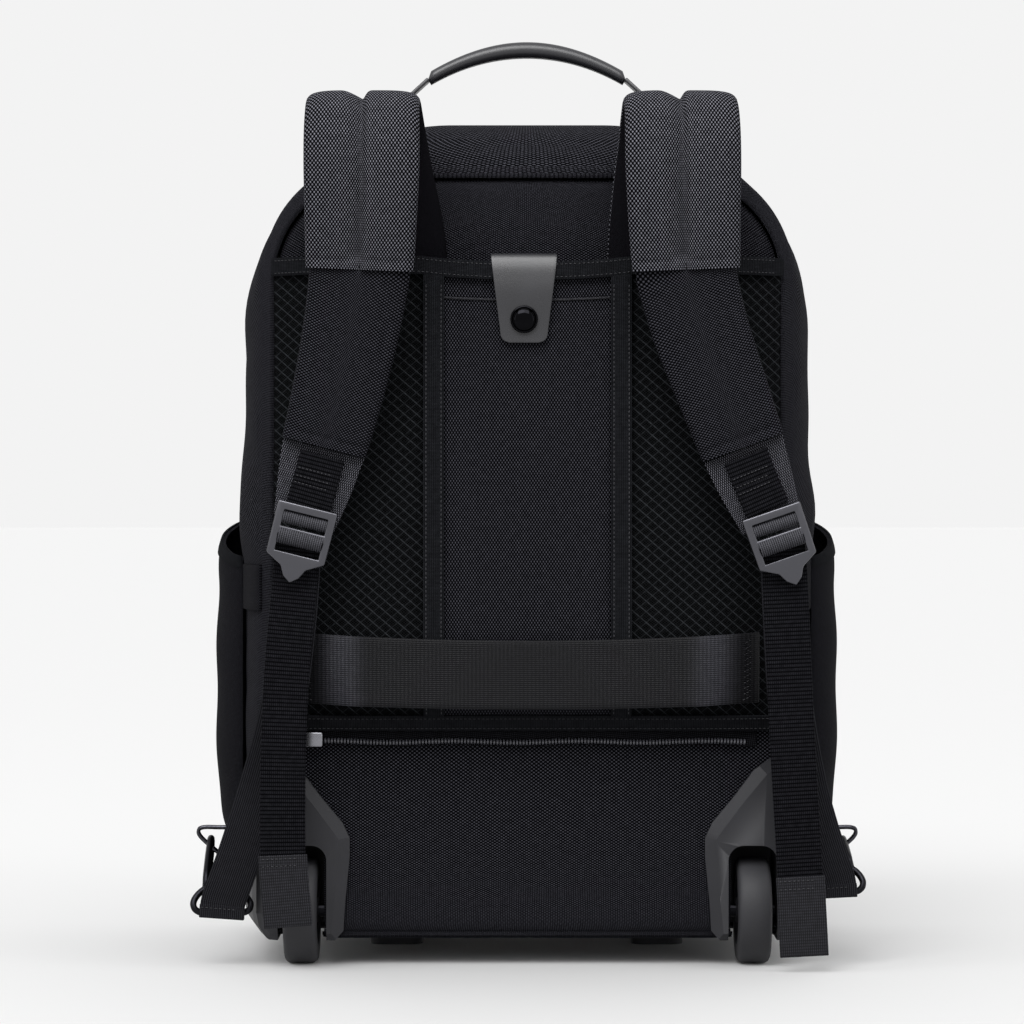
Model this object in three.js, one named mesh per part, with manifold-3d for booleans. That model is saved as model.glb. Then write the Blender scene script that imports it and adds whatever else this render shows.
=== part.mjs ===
// Wheeled backpack: a hollow soft body on two wheels, with a harness on its rear face.
// Millimetres, +Z up. The rear face, with the harness, looks towards -Y and stands at Y = 0
// while the pieces are made. Left and right are a viewer's who looks at the harness.
import * as THREE from 'three';
import { mergeVertices } from 'three/addons/utils/BufferGeometryUtils.js';
import Module from 'manifold-3d';

const wasm = await Module();
wasm.setup();

// Fits
const CLEARANCE = 0.3; // between pieces that touch
const REACH_PAST = 20; // how far a cutting body runs past what it cuts
const WELD = 0.0001;
const CORNER_STEPS = 9; // facets round a large corner
const SMALL_CORNER_STEPS = 4;
const TUBE_SIDES = 8;
const WIRE_SIDES = 6;

// Body
const BODY_HALF_WIDTH = 171;
const BODY_TOP = 497;
const BODY_BOTTOM = 14;
const BODY_DEPTH = 205;
const TOP_CORNER = 125;
const BOTTOM_CORNER = 13;
const FABRIC_WALL = 2.5;
const ZIP_LINE = 160; // depth of the middle of the main zip
const ZIP_WIDTH = 9;
const ZIP_PROUD = 0.8;
const PULLER_LENGTH = 82;
const PULLER_WIDTH = 11;
const PULLER_THICKNESS = 2.4;
const SLIDER_LENGTH = 15;
const SLIDER_WIDTH = 9;
const SLIDER_THICKNESS = 4;
const PULLER_TOP = 396;

// Harness cover: pads and a centre panel over the pocket of the pull handle
const COVER_HALF_WIDTH = 150;
const COVER_TOP = 405;
const COVER_BOTTOM = 134;
const POCKET_DEPTH = 15;
const PAD_THICKNESS = 9;
const PANEL_THICKNESS = 4;
const PANEL_HALF_WIDTH = 49;
const CHANNEL_TAPE = 11.5;
const TAPE_THICKNESS = 1.4;
const TOP_TAPE = 10.5;
const BOTTOM_TAPE = 9;
const HARNESS_ZIP_WIDTH = 8;
const HARNESS_ZIP_HALF_LENGTH = 134;
const HARNESS_SLIDER_INSET = 7;

// Luggage strap
const LUGGAGE_STRAP_WIDTH = 40;
const LUGGAGE_STRAP_HALF_LENGTH = 135;
const LUGGAGE_STRAP_MIDDLE = 170;
const LUGGAGE_STRAP_THICKNESS = 1.8;

// Leather flap over the pull handle
const FLAP_X = -2;
const FLAP_TOP_WIDTH = 38;
const FLAP_TIP_WIDTH = 26.5;
const FLAP_CORNER = 4;
const FLAP_DROP = 45; // from the cover's upper edge to the flap's tip
const FLAP_TIP = COVER_TOP - FLAP_DROP;
const FLAP_THICKNESS = 2;
const SNAP_RADIUS = 8;
const SNAP_HEIGHT = 3.6;
const SNAP_FROM_TIP = 13.5;

// Pull handle, kept in the pocket
const PULL_BELOW_EDGE = 35;
const PULL_TOP = COVER_TOP - PULL_BELOW_EDGE;
const PULL_HALF_WIDTH = 58;
const PULL_BAR = 12;
const PULL_GRIP_HEIGHT = 20;
const PULL_ROOM = 1.2; // by how much the handle is thinner than its pocket

// Shoulder straps
const ARCH_REACH = 57;
const PAD_WIDTH = 66;
const UPPER_PAD_THICKNESS = 13;
const LOWER_PAD_THICKNESS = 11;
const BACKING_THICKNESS = 3;
const WEBBING_WIDTH = 26;
const WEBBING_THICKNESS = 1.8;
const BUCKLE_WIDTH = 35;
const BUCKLE_HEIGHT = 33;
const BUCKLE_TIP = 12;
const BUCKLE_RAIL = 4.6;
const BUCKLE_THICKNESS = 4;

// Snap hooks and side rings
const RING_WIRE = 2.2;
const RING_WIDTH = 28;
const RING_HEIGHT = 30;
const RING_DEPTH = 30;
const RING_TOP = 74.5;
const RING_TAB_HEIGHT = 19;
const LOOP_WIRE = 3.4;
const LOOP_WIDTH = 34;
const LOOP_HEIGHT = 13;
const LOOP_ABOVE_HEM = 3.5; // from the end of the webbing to the loop's lower bar
const HOOK_WIDTH = 11;
const HOOK_WIRE = 3.6;

// Side pockets and side tabs
const POCKET_TOP = 257;
const POCKET_BOTTOM = 58;
const POCKET_REAR = 54;
const POCKET_FRONT = 150;
const POCKET_BULGE = 16.5;
const POCKET_ROUNDNESS = 0.55; // the lower, the fuller the belly is near its seams
const POCKET_REAR_DROP = 22; // how much lower the mouth is at its rear end
const TAB_TOP = 231;
const TAB_HEIGHT = 27;
const TAB_REAR = 4;
const TAB_THICKNESS = 2.2;

// Carry handle
const GRIP_THICKNESS = 10.4;
const GRIP_HALF_LENGTH = 59;
const GRIP_CROWN = 542;
const GRIP_RISE = 18;
const GRIP_DEPTH = 70;
const HANDLE_ROOT_X = 88;
const HANDLE_STRIP_WIDTH = 12;
const HANDLE_STRIP_THICKNESS = 2.2;
const HANDLE_STRIP_LIFT = 0.72; // of its thickness, from the body to the middle of its lower end
const HANDLE_STRIP_BEND = 0.38; // how far the strip has come down at half its length

// Wheels and their housings
const WHEEL_RADIUS = 31;
const WHEEL_WIDTH = 19.5;
const WHEEL_X = 132.7;
const AXLE_DEPTH = 13;
const FLOOR = -3.6; // height of the floor under the wheels
const AXLE_HEIGHT = FLOOR + WHEEL_RADIUS;
const AXLE_RADIUS = 4;
const HUB_RADIUS = 20;
const HUB_INSET = 1.5;
const WEB_THICKNESS = 6.3;
const BOSS_WALL = 3;
const RIM_WALL = 2.8;
const TREAD_ROUND = 3;
const HOUSING_INNER_X = 104;
const HOUSING_OUTER_X = 165;
const HOUSING_BELOW = 2.5; // how far it reaches below the cloth
const HOUSING_TOP = 118;
const HOUSING_DEPTH = 50;
const HOUSING_PROUD = 6;
const HOUSING_WALL = 3;
const WELL_INNER_X = 117.5;
const WELL_OUTER_X = 146;
const WELL_TOP = 67;
const WELL_CORNER = 9;
const WELL_CLEAR = 3;

// Front feet
const FOOT_X = 80;
const FOOT_WIDTH = 32;
const FOOT_LENGTH = 56;
const FOOT_MIDDLE = 126;
const FOOT_CORNER = 8;

// Sections of the body from rear to front: shares of BODY_DEPTH, of BODY_HALF_WIDTH, of the
// height from BODY_BOTTOM to BODY_TOP, and of TOP_CORNER.
const BODY_SECTIONS = [
  { depth: 0.0, width: 0.885, height: 0.925, corner: 0.505 },
  { depth: 0.03, width: 0.915, height: 0.95, corner: 0.62 },
  { depth: 0.1, width: 0.948, height: 0.974, corner: 0.82 },
  { depth: 0.22, width: 0.978, height: 0.992, corner: 0.96 },
  { depth: 0.42, width: 1.0, height: 1.0, corner: 1.0 },
  { depth: 0.64, width: 1.0, height: 0.998, corner: 1.0 },
  { depth: 0.82, width: 0.982, height: 0.984, corner: 0.92 },
  { depth: 0.93, width: 0.95, height: 0.962, corner: 0.8 },
  { depth: 0.98, width: 0.92, height: 0.942, corner: 0.7 },
  { depth: 1.0, width: 0.89, height: 0.925, corner: 0.62 },
];

// Half of the harness cover from its middle channel to its side seam: shares of
// COVER_HALF_WIDTH, of POCKET_DEPTH and of PAD_THICKNESS.
const COVER_SECTIONS = [
  { across: 0.33, lift: 1.0, pad: 0.72 },
  { across: 0.4, lift: 1.0, pad: 0.88 },
  { across: 0.53, lift: 1.0, pad: 1.0 },
  { across: 0.7, lift: 0.98, pad: 1.0 },
  { across: 0.83, lift: 0.74, pad: 0.92 },
  { across: 0.93, lift: 0.32, pad: 0.66 },
  { across: 1.0, lift: 0.0, pad: 0.28 },
];

// How far the cover stands off over its height: shares of its height and of its full lift.
const COVER_HEIGHTS = [
  { up: 0.0, lift: 0.12, pad: 0.35 },
  { up: 0.03, lift: 0.36, pad: 0.62 },
  { up: 0.08, lift: 0.7, pad: 0.85 },
  { up: 0.16, lift: 0.94, pad: 1.0 },
  { up: 0.3, lift: 1.0, pad: 1.0 },
  { up: 0.65, lift: 1.0, pad: 1.0 },
  { up: 1.0, lift: 1.0, pad: 0.9 },
];

// Shoulder strap rows: height is a share of BODY_TOP, left and right are shares of
// BODY_HALF_WIDTH, out is a share of ARCH_REACH and wide is a share of PAD_WIDTH.
const UPPER_RUN = [
  { height: 0.777, left: 0.44, right: 0.44, out: 0.1197, wide: 0.92 },
  { height: 0.845, left: 0.46, right: 0.455, out: 0.1197, wide: 0.96 },
  { height: 0.912, left: 0.505, right: 0.48, out: 0.15, wide: 1.0 },
  { height: 0.957, left: 0.533, right: 0.5, out: 0.2, wide: 1.02 },
  { height: 0.987, left: 0.546, right: 0.508, out: 0.35, wide: 1.02 },
  { height: 1.003, left: 0.553, right: 0.513, out: 0.58, wide: 1.02 },
  { height: 0.99, left: 0.554, right: 0.516, out: 0.82, wide: 1.02 },
  { height: 0.96, left: 0.554, right: 0.517, out: 0.96, wide: 1.03 },
  { height: 0.92, left: 0.554, right: 0.518, out: 1.0, wide: 1.03 },
  { height: 0.865, left: 0.557, right: 0.522, out: 0.965, wide: 1.0 },
  { height: 0.815, left: 0.561, right: 0.528, out: 0.9, wide: 0.97 },
];
const LOWER_RUN = [
  { height: 0.813, left: 0.561, right: 0.5285, out: 0.875, wide: 0.9 },
  { height: 0.8, left: 0.563, right: 0.531, out: 0.86, wide: 0.9 },
  { height: 0.775, left: 0.573, right: 0.548, out: 0.835, wide: 0.88 },
  { height: 0.736, left: 0.592, right: 0.58, out: 0.805, wide: 0.86 },
  { height: 0.69, left: 0.62, right: 0.628, out: 0.775, wide: 0.83 },
  { height: 0.645, left: 0.651, right: 0.676, out: 0.75, wide: 0.8 },
  { height: 0.602, left: 0.684, right: 0.722, out: 0.73, wide: 0.77 },
];
const BACKING_RUN = [
  { height: 0.6009, left: 0.6847, right: 0.7231, out: 0.7, wide: 0.73 },
  { height: 0.56, left: 0.715, right: 0.768, out: 0.68, wide: 0.66 },
  { height: 0.514, left: 0.752, right: 0.822, out: 0.66, wide: 0.55 },
];
const LINK_RUN = [
  { height: 0.592, left: 0.688, right: 0.73, out: 0.757 },
  { height: 0.56, left: 0.713, right: 0.768, out: 0.737 },
  { height: 0.53, left: 0.738, right: 0.806, out: 0.728 },
];
const TAIL_RUNS = {
  left: [
    { height: 0.503, across: 0.765, out: 0.728 },
    { height: 0.45, across: 0.782, out: 0.69 },
    { height: 0.31, across: 0.815, out: 0.66 },
    { height: 0.136, across: 0.824, out: 0.62 },
    { height: 0.046, across: 0.806, out: 0.6 },
  ],
  right: [
    { height: 0.498, across: 0.853, out: 0.728 },
    { height: 0.449, across: 0.865, out: 0.69 },
    { height: 0.264, across: 0.89, out: 0.66 },
    { height: 0.108, across: 0.917, out: 0.62 },
    { height: 0.012, across: 0.932, out: 0.6 },
  ],
};
const LOAD_RUNS = {
  left: [
    { height: 0.49, across: 0.768, out: 0.679 },
    { height: 0.4, across: 0.788, out: 0.6 },
    { height: 0.3, across: 0.828, out: 0.48 },
    { height: 0.21, across: 0.9, out: 0.29 },
    { height: 0.14, across: 0.965, out: 0.24 },
    { height: 0.09, across: 1.016, out: 0.21 },
    { height: 0.07, across: 1.037, out: 0.19 },
    { height: 0.05, across: 1.042, out: 0.19 },
  ],
  right: [
    { height: 0.485, across: 0.856, out: 0.679 },
    { height: 0.4, across: 0.868, out: 0.6 },
    { height: 0.3, across: 0.89, out: 0.48 },
    { height: 0.21, across: 0.94, out: 0.29 },
    { height: 0.16, across: 0.98, out: 0.24 },
    { height: 0.115, across: 1.022, out: 0.21 },
    { height: 0.094, across: 1.043, out: 0.19 },
    { height: 0.0745, across: 1.047, out: 0.19 },
  ],
};
const BUCKLES = {
  left: { height: 0.501, across: 0.758, lean: 14 },
  right: { height: 0.497, across: 0.845, lean: -19 },
};

// Side pocket rows: shares of the pocket's height and of POCKET_BULGE.
const POCKET_ROWS = [
  { up: 0.0, bulge: 0.02 },
  { up: 0.05, bulge: 0.6 },
  { up: 0.14, bulge: 0.88 },
  { up: 0.4, bulge: 1.0 },
  { up: 0.7, bulge: 0.97 },
  { up: 0.88, bulge: 0.84 },
  { up: 0.96, bulge: 0.66 },
  { up: 1.0, bulge: 0.5 },
];

// Outline of a wheel housing: shares of its width outwards and of its height.
const HOUSING_OUTLINE = [
  { out: 0.14, up: 0.0 },
  { out: 1.1, up: 0.0 },
  { out: 1.1, up: 0.24 },
  { out: 1.0, up: 0.3 },
  { out: 0.86, up: 0.62 },
  { out: 0.72, up: 0.96 },
  { out: 0.63, up: 1.0 },
  { out: 0.47, up: 0.935 },
  { out: 0.28, up: 0.79 },
  { out: 0.07, up: 0.645 },
  { out: 0.0, up: 0.56 },
  { out: 0.0, up: 0.46 },
  { out: 0.045, up: 0.2 },
  { out: 0.06, up: 0.05 },
];

// How the housing's outer corner rounds off behind the rear face: shares of HOUSING_PROUD
// behind it, or of HOUSING_DEPTH in front of it, and how far it stands off the body's outline,
// as a share of HOUSING_PROUD.
const HOUSING_CORNER = [
  { proud: 1.0, depth: 0.0, off: -0.25 },
  { proud: 0.6, depth: 0.0, off: 0.67 },
  { proud: 0.0, depth: 0.0, off: 1.25 },
  { proud: 0.0, depth: 0.2, off: 0.67 },
  { proud: 0.0, depth: 1.0, off: 0.23 },
];

// Right half of a buckle's outline: shares of half its width, of half its height and of its tip.
const BUCKLE_EDGE = [
  { across: 1, up: 1, tip: 0 },
  { across: 0.98, up: -0.85, tip: 0 },
  { across: 0.42, up: -1, tip: 0.25 },
  { across: 0.26, up: -1, tip: 0.7 },
  { across: 0, up: -1, tip: 1 },
];

// Line of a side ring's wire: shares of its width and of its height.
const RING_LINE = [
  { out: 0, down: 0.1 },
  { out: 0.04, down: 0.02 },
  { out: 0.12, down: 0 },
  { out: 0.5, down: 0 },
  { out: 0.9, down: 0 },
  { out: 0.99, down: 0.04 },
  { out: 0.97, down: 0.14 },
  { out: 0.5, down: 0.55 },
  { out: 0.1, down: 0.93 },
  { out: 0.02, down: 0.95 },
  { out: 0, down: 0.86 },
  { out: 0, down: 0.5 },
];

// Line of a hook's wire loop: shares of half its width, of its height and of its wire's width.
const LOOP_LINE = [
  { out: -0.8, up: 0, back: 0 },
  { out: 0, up: 0, back: 0 },
  { out: 0.8, up: 0, back: 0 },
  { out: 1, up: 0.25, back: 0 },
  { out: 0.95, up: 0.6, back: 0.8 },
  { out: 0.6, up: 1, back: 1.8 },
  { out: 0, up: 1, back: 1.8 },
  { out: -0.7, up: 0.8, back: 1.2 },
  { out: -1, up: 0.25, back: 0 },
];
const LOOP_FOOT = LOOP_LINE[5]; // where the hook's body stands on the loop

// Line of a hook's body: shares of the way to the ring and of half its width.
const HOOK_LINE = [
  { along: 0.02, out: 0 },
  { along: 0.12, out: 0.7 },
  { along: 0.4, out: 1 },
  { along: 0.8, out: 1 },
  { along: 1.04, out: 0.8 },
  { along: 1.16, out: 0 },
  { along: 1.04, out: -0.8 },
  { along: 0.8, out: -1 },
  { along: 0.4, out: -1 },
  { along: 0.12, out: -0.7 },
];
const HELD_AT = { out: 0.72, down: 0.367 }; // where a hook hangs on the side ring

// Dome of the snap: shares of its radius and of its height.
const SNAP_PROFILE = [
  { out: 0, up: 0 },
  { out: 0.92, up: 0 },
  { out: 1, up: 0.25 },
  { out: 0.96, up: 0.55 },
  { out: 0.7, up: 0.88 },
  { out: 0.35, up: 1 },
  { out: 0, up: 1.05 },
];

// Cross-sections of straps: shares of half the width and of half the thickness.
const FLAT_SECTION = [[-1, -1], [1, -1], [1, 1], [-1, 1]];
const LOBED_SECTION = [
  [-1, -0.3], [-0.86, -0.85], [-0.4, -1], [0.4, -1], [0.86, -0.85], [1, -0.3],
  [0.96, 0.5], [0.78, 0.92], [0.4, 1], [0, 0.62], [-0.4, 1], [-0.78, 0.92], [-0.96, 0.5],
];
const PADDED_SECTION = [
  [-1, -0.3], [-0.86, -0.9], [0, -1], [0.86, -0.9], [1, -0.3],
  [0.95, 0.5], [0.7, 0.9], [0, 1], [-0.7, 0.9], [-0.95, 0.5],
];

const SIDES = [{ name: 'left', sign: -1 }, { name: 'right', sign: 1 }];
const X_AXIS = new THREE.Vector3(1, 0, 0);

// Finishes
const finish = (color, roughness, metalness = 0) =>
  new THREE.MeshStandardMaterial({ color, roughness, metalness, side: THREE.DoubleSide });
const BALLISTIC = finish('#1b1b1e', 0.85);
const SMOOTH_CLOTH = finish('#161618', 0.8);
const MESH_CLOTH = finish('#141416', 0.9);
const WEBBING = finish('#1a1a1d', 0.65);
const LEATHER = finish('#202022', 0.5);
const PLASTIC = finish('#1d1d1f', 0.6);
const RUBBER = finish('#252527', 0.8);
const GUNMETAL = finish('#3a3a3e', 0.35, 0.9);
const BLACK_METAL = finish('#0e0e10', 0.15, 0.6);
const ALUMINIUM = finish('#8d8f94', 0.3, 0.9);

const backpack = new THREE.Group();
backpack.name = 'wheeled_backpack';

function piece(name, geometry, material) {
  const mesh = new THREE.Mesh(geometry, material);
  mesh.name = name;
  backpack.add(mesh);
  return mesh;
}

// A value read from a table between its rows.
function readTable(rows, column, at, wanted) {
  const above = rows.findIndex((row) => row[column] >= at);
  if (above <= 0) return rows[above < 0 ? rows.length - 1 : 0][wanted];
  const low = rows[above - 1];
  const high = rows[above];
  const share = (at - low[column]) / (high[column] - low[column]);
  return THREE.MathUtils.lerp(low[wanted], high[wanted], share);
}

// Triangles of a flat or nearly flat ring, in the ring's own direction of turning.
function capFaces(ring) {
  const normal = new THREE.Vector3();
  ring.forEach((point, i) => {
    const next = ring[(i + 1) % ring.length];
    normal.add(new THREE.Vector3().crossVectors(point, next));
  });
  normal.normalize();
  const along = new THREE.Vector3().subVectors(ring[1], ring[0]).normalize();
  const across = new THREE.Vector3().crossVectors(normal, along);
  const flat = ring.map((point) => new THREE.Vector2(point.dot(along), point.dot(across)));
  return THREE.ShapeUtils.triangulateShape(flat, []).map(([a, b, c]) => {
    const area = (flat[b].x - flat[a].x) * (flat[c].y - flat[a].y)
      - (flat[c].x - flat[a].x) * (flat[b].y - flat[a].y);
    return area > 0 ? [a, b, c] : [a, c, b];
  });
}

// A closed solid through rings of equally many points. With loop the last ring meets the first.
function loft(rings, loop = false) {
  const count = rings[0].length;
  const index = [];
  const spans = loop ? rings.length : rings.length - 1;
  for (let i = 0; i < spans; i++) {
    const near = i * count;
    const far = ((i + 1) % rings.length) * count;
    for (let j = 0; j < count; j++) {
      const k = (j + 1) % count;
      index.push(near + j, far + j, far + k, near + j, far + k, near + k);
    }
  }
  if (!loop) {
    capFaces(rings[0]).forEach((face) => index.push(...face));
    const start = (rings.length - 1) * count;
    capFaces(rings.at(-1)).forEach(([a, b, c]) => index.push(start + a, start + c, start + b));
  }
  const points = rings.flat();
  const geometry = new THREE.BufferGeometry().setFromPoints(points);
  return facingOut(geometry, index, points);
}

// The faces turned over if they point inwards.
function facingOut(geometry, index, points) {
  let volume = 0;
  for (let i = 0; i < index.length; i += 3) {
    const [a, b, c] = [points[index[i]], points[index[i + 1]], points[index[i + 2]]];
    volume += a.dot(new THREE.Vector3().crossVectors(b, c));
  }
  if (volume < 0) index.reverse();
  geometry.setIndex(index);
  geometry.computeVertexNormals();
  return geometry;
}

function toSolid(geometry) {
  const bare = geometry.clone();
  bare.deleteAttribute('normal');
  bare.deleteAttribute('uv');
  const merged = mergeVertices(bare, WELD);
  const vertProperties = new Float32Array(merged.attributes.position.array);
  const triVerts = new Uint32Array(merged.index.array);
  return new wasm.Manifold(new wasm.Mesh({ numProp: 3, vertProperties, triVerts }));
}

function toGeometry(solid) {
  const { vertProperties, triVerts } = solid.getMesh();
  const geometry = new THREE.BufferGeometry();
  geometry.setAttribute('position', new THREE.BufferAttribute(vertProperties, 3));
  geometry.setIndex(new THREE.BufferAttribute(triVerts, 1));
  return geometry;
}

// A round tube along points, closed into a ring or with flat ends.
function tube(points, radius, sides, closed) {
  const curve = new THREE.CatmullRomCurve3(points, closed, 'centripetal');
  const steps = points.length * 3;
  const frames = curve.computeFrenetFrames(steps, closed);
  const rings = [];
  const ringCount = closed ? steps : steps + 1;
  for (let i = 0; i < ringCount; i++) {
    const centre = curve.getPointAt(i / steps);
    const ring = [];
    for (let j = 0; j < sides; j++) {
      const angle = (j / sides) * Math.PI * 2;
      const point = centre.clone();
      point.addScaledVector(frames.normals[i], Math.cos(angle) * radius);
      point.addScaledVector(frames.binormals[i], Math.sin(angle) * radius);
      ring.push(point);
    }
    rings.push(ring);
  }
  return loft(rings, closed);
}

// A strap along rows of a place, a width and a thickness, its width held along X.
function ribbon(rows, section) {
  const rings = rows.map((row, i) => {
    const before = rows[Math.max(i - 1, 0)].place;
    const after = rows[Math.min(i + 1, rows.length - 1)].place;
    const along = new THREE.Vector3().subVectors(after, before).normalize();
    const across = X_AXIS.clone().addScaledVector(along, -along.x).normalize();
    const through = new THREE.Vector3().crossVectors(along, across);
    return section.map(([wide, thick]) => row.place.clone()
      .addScaledVector(across, (wide * row.width) / 2)
      .addScaledVector(through, (thick * row.thickness) / 2));
  });
  return loft(rings);
}

function strapPlace(row, side) {
  const share = row.across ?? row[side.name];
  const x = side.sign * share * BODY_HALF_WIDTH;
  return new THREE.Vector3(x, -row.out * ARCH_REACH, row.height * BODY_TOP);
}

function strapRows(rows, side, width, thickness) {
  return rows.map((row) => ({
    place: strapPlace(row, side),
    width: width * (row.wide ?? 1),
    thickness,
  }));
}

// Body
function bodySection(depth) {
  const share = depth / BODY_DEPTH;
  const read = (wanted) => readTable(BODY_SECTIONS, 'depth', share, wanted);
  return {
    halfWidth: read('width') * BODY_HALF_WIDTH,
    top: BODY_BOTTOM + read('height') * (BODY_TOP - BODY_BOTTOM),
    corner: read('corner') * TOP_CORNER,
  };
}

// The body's rounded outline at a depth, moved outwards by off.
function bodyRing(depth, off = 0, y = depth) {
  const { halfWidth, top, corner } = bodySection(depth);
  const half = halfWidth + off;
  const high = top + off;
  const low = BODY_BOTTOM - off;
  const upper = Math.max(corner + off, CLEARANCE);
  const lower = Math.max(BOTTOM_CORNER + off, CLEARANCE);
  const ring = [];
  const arc = (cx, cz, radius, from, steps) => {
    for (let i = 0; i <= steps; i++) {
      const angle = from + (i / steps) * (Math.PI / 2);
      ring.push(new THREE.Vector3(cx + radius * Math.cos(angle), y, cz + radius * Math.sin(angle)));
    }
  };
  arc(half - upper, high - upper, upper, 0, CORNER_STEPS);
  arc(upper - half, high - upper, upper, Math.PI / 2, CORNER_STEPS);
  arc(lower - half, low + lower, lower, Math.PI, SMALL_CORNER_STEPS);
  arc(half - lower, low + lower, lower, -Math.PI / 2, SMALL_CORNER_STEPS);
  return ring;
}

function bodyDepths(from, to) {
  const inside = BODY_SECTIONS.map((row) => row.depth * BODY_DEPTH)
    .filter((depth) => depth > from + CLEARANCE && depth < to - CLEARANCE);
  return [from, ...inside, to];
}

function bodySide(depth) {
  return bodySection(depth).halfWidth;
}

const zipRear = ZIP_LINE - ZIP_WIDTH / 2;
const zipFront = ZIP_LINE + ZIP_WIDTH / 2;

function bodyEnvelope(off) {
  const rings = bodyDepths(0, BODY_DEPTH).map((depth) => bodyRing(depth, off));
  rings[0] = bodyRing(0, off, -off);
  rings[rings.length - 1] = bodyRing(BODY_DEPTH, off, BODY_DEPTH + off);
  return loft(rings);
}

function rearShell() {
  const outer = bodyDepths(0, zipRear - CLEARANCE).map((depth) => bodyRing(depth));
  const inner = bodyDepths(FABRIC_WALL, zipRear - CLEARANCE)
    .map((depth) => bodyRing(depth, -FABRIC_WALL));
  return loft([...outer, ...inner.reverse()]);
}

function frontShell() {
  const outer = bodyDepths(zipFront + CLEARANCE, BODY_DEPTH).map((depth) => bodyRing(depth));
  const inner = bodyDepths(zipFront + CLEARANCE, BODY_DEPTH - FABRIC_WALL)
    .map((depth) => bodyRing(depth, -FABRIC_WALL));
  return loft([...inner.reverse(), ...outer]);
}

function mainZip() {
  return loft([
    bodyRing(zipRear, ZIP_PROUD),
    bodyRing(zipFront, ZIP_PROUD),
    bodyRing(zipFront, -FABRIC_WALL),
    bodyRing(zipRear, -FABRIC_WALL),
  ], true);
}

// Slider and leather puller of the main zip, on the right side
function addMainZipPull() {
  const slider = new THREE.BoxGeometry(SLIDER_THICKNESS, SLIDER_WIDTH, SLIDER_LENGTH);
  const sliderX = bodySide(ZIP_LINE) + ZIP_PROUD + CLEARANCE + SLIDER_THICKNESS / 2;
  slider.translate(sliderX, ZIP_LINE, PULLER_TOP + SLIDER_LENGTH / 2);
  piece('main_zip_slider', slider, GUNMETAL);
  const strip = new THREE.BoxGeometry(PULLER_THICKNESS, PULLER_WIDTH, PULLER_LENGTH);
  strip.translate(sliderX, ZIP_LINE, PULLER_TOP - CLEARANCE - PULLER_LENGTH / 2);
  piece('main_zip_puller', strip, LEATHER);
}

// Harness cover
const coverHeight = COVER_TOP - COVER_BOTTOM;

function coverBack(across, z) {
  const lift = readTable(COVER_SECTIONS, 'across', Math.abs(across) / COVER_HALF_WIDTH, 'lift');
  const up = readTable(COVER_HEIGHTS, 'up', (z - COVER_BOTTOM) / coverHeight, 'lift');
  return -CLEARANCE - lift * up * POCKET_DEPTH;
}

function coverFront(across, z) {
  const pad = readTable(COVER_SECTIONS, 'across', Math.abs(across) / COVER_HALF_WIDTH, 'pad');
  const up = readTable(COVER_HEIGHTS, 'up', (z - COVER_BOTTOM) / coverHeight, 'pad');
  return coverBack(across, z) - pad * up * PAD_THICKNESS;
}

const coverLevels = COVER_HEIGHTS.map((row) => COVER_BOTTOM + row.up * coverHeight);

function harnessPad(side) {
  const places = COVER_SECTIONS.map((row) => side.sign * row.across * COVER_HALF_WIDTH);
  places[0] = side.sign * (PANEL_HALF_WIDTH + CLEARANCE);
  return loft(coverLevels.map((z) => [
    ...places.map((x) => new THREE.Vector3(x, coverFront(x, z), z)),
    ...places.toReversed().map((x) => new THREE.Vector3(x, coverBack(x, z), z)),
  ]));
}

function centrePanel() {
  return loft(coverLevels.map((z) => {
    const back = coverBack(0, z);
    const up = readTable(COVER_HEIGHTS, 'up', (z - COVER_BOTTOM) / coverHeight, 'pad');
    const front = back - up * PANEL_THICKNESS;
    return [
      new THREE.Vector3(-PANEL_HALF_WIDTH, front, z),
      new THREE.Vector3(PANEL_HALF_WIDTH, front, z),
      new THREE.Vector3(PANEL_HALF_WIDTH, back, z),
      new THREE.Vector3(-PANEL_HALF_WIDTH, back, z),
    ];
  }));
}

// Places along X where a strip laid on the cover bends, from low to high.
function coverStops(from, to) {
  const stops = COVER_SECTIONS.flatMap((row) => [-row.across, row.across])
    .map((share) => share * COVER_HALF_WIDTH);
  const inside = stops.filter((x) => x > from + 1 && x < to - 1);
  return [from, ...inside, to].sort((a, b) => a - b);
}

// A strip laid across the cover from low to high.
function acrossStrip(from, to, low, high, thickness) {
  return loft(coverStops(from, to).map((x) => {
    const lower = coverFront(x, low) - CLEARANCE;
    const upper = coverFront(x, high) - CLEARANCE;
    return [
      new THREE.Vector3(x, lower, low),
      new THREE.Vector3(x, upper, high),
      new THREE.Vector3(x, upper - thickness, high),
      new THREE.Vector3(x, lower - thickness, low),
    ];
  }));
}

// A tape laid up the cover beside the centre panel.
function channelTape(side) {
  const near = side.sign * (PANEL_HALF_WIDTH + CLEARANCE);
  const far = side.sign * (PANEL_HALF_WIDTH + CHANNEL_TAPE);
  const low = COVER_BOTTOM + BOTTOM_TAPE + CLEARANCE;
  const high = COVER_TOP - TOP_TAPE / 2 - CLEARANCE;
  const levels = [low, ...coverLevels.filter((z) => z > low + 1 && z < high - 1), high];
  return loft(levels.map((z) => [near, far].flatMap((x) => {
    const front = coverFront(x, z) - CLEARANCE;
    const pair = [new THREE.Vector3(x, front, z), new THREE.Vector3(x, front - TAPE_THICKNESS, z)];
    return x === near ? pair : pair.reverse();
  })));
}

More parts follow.
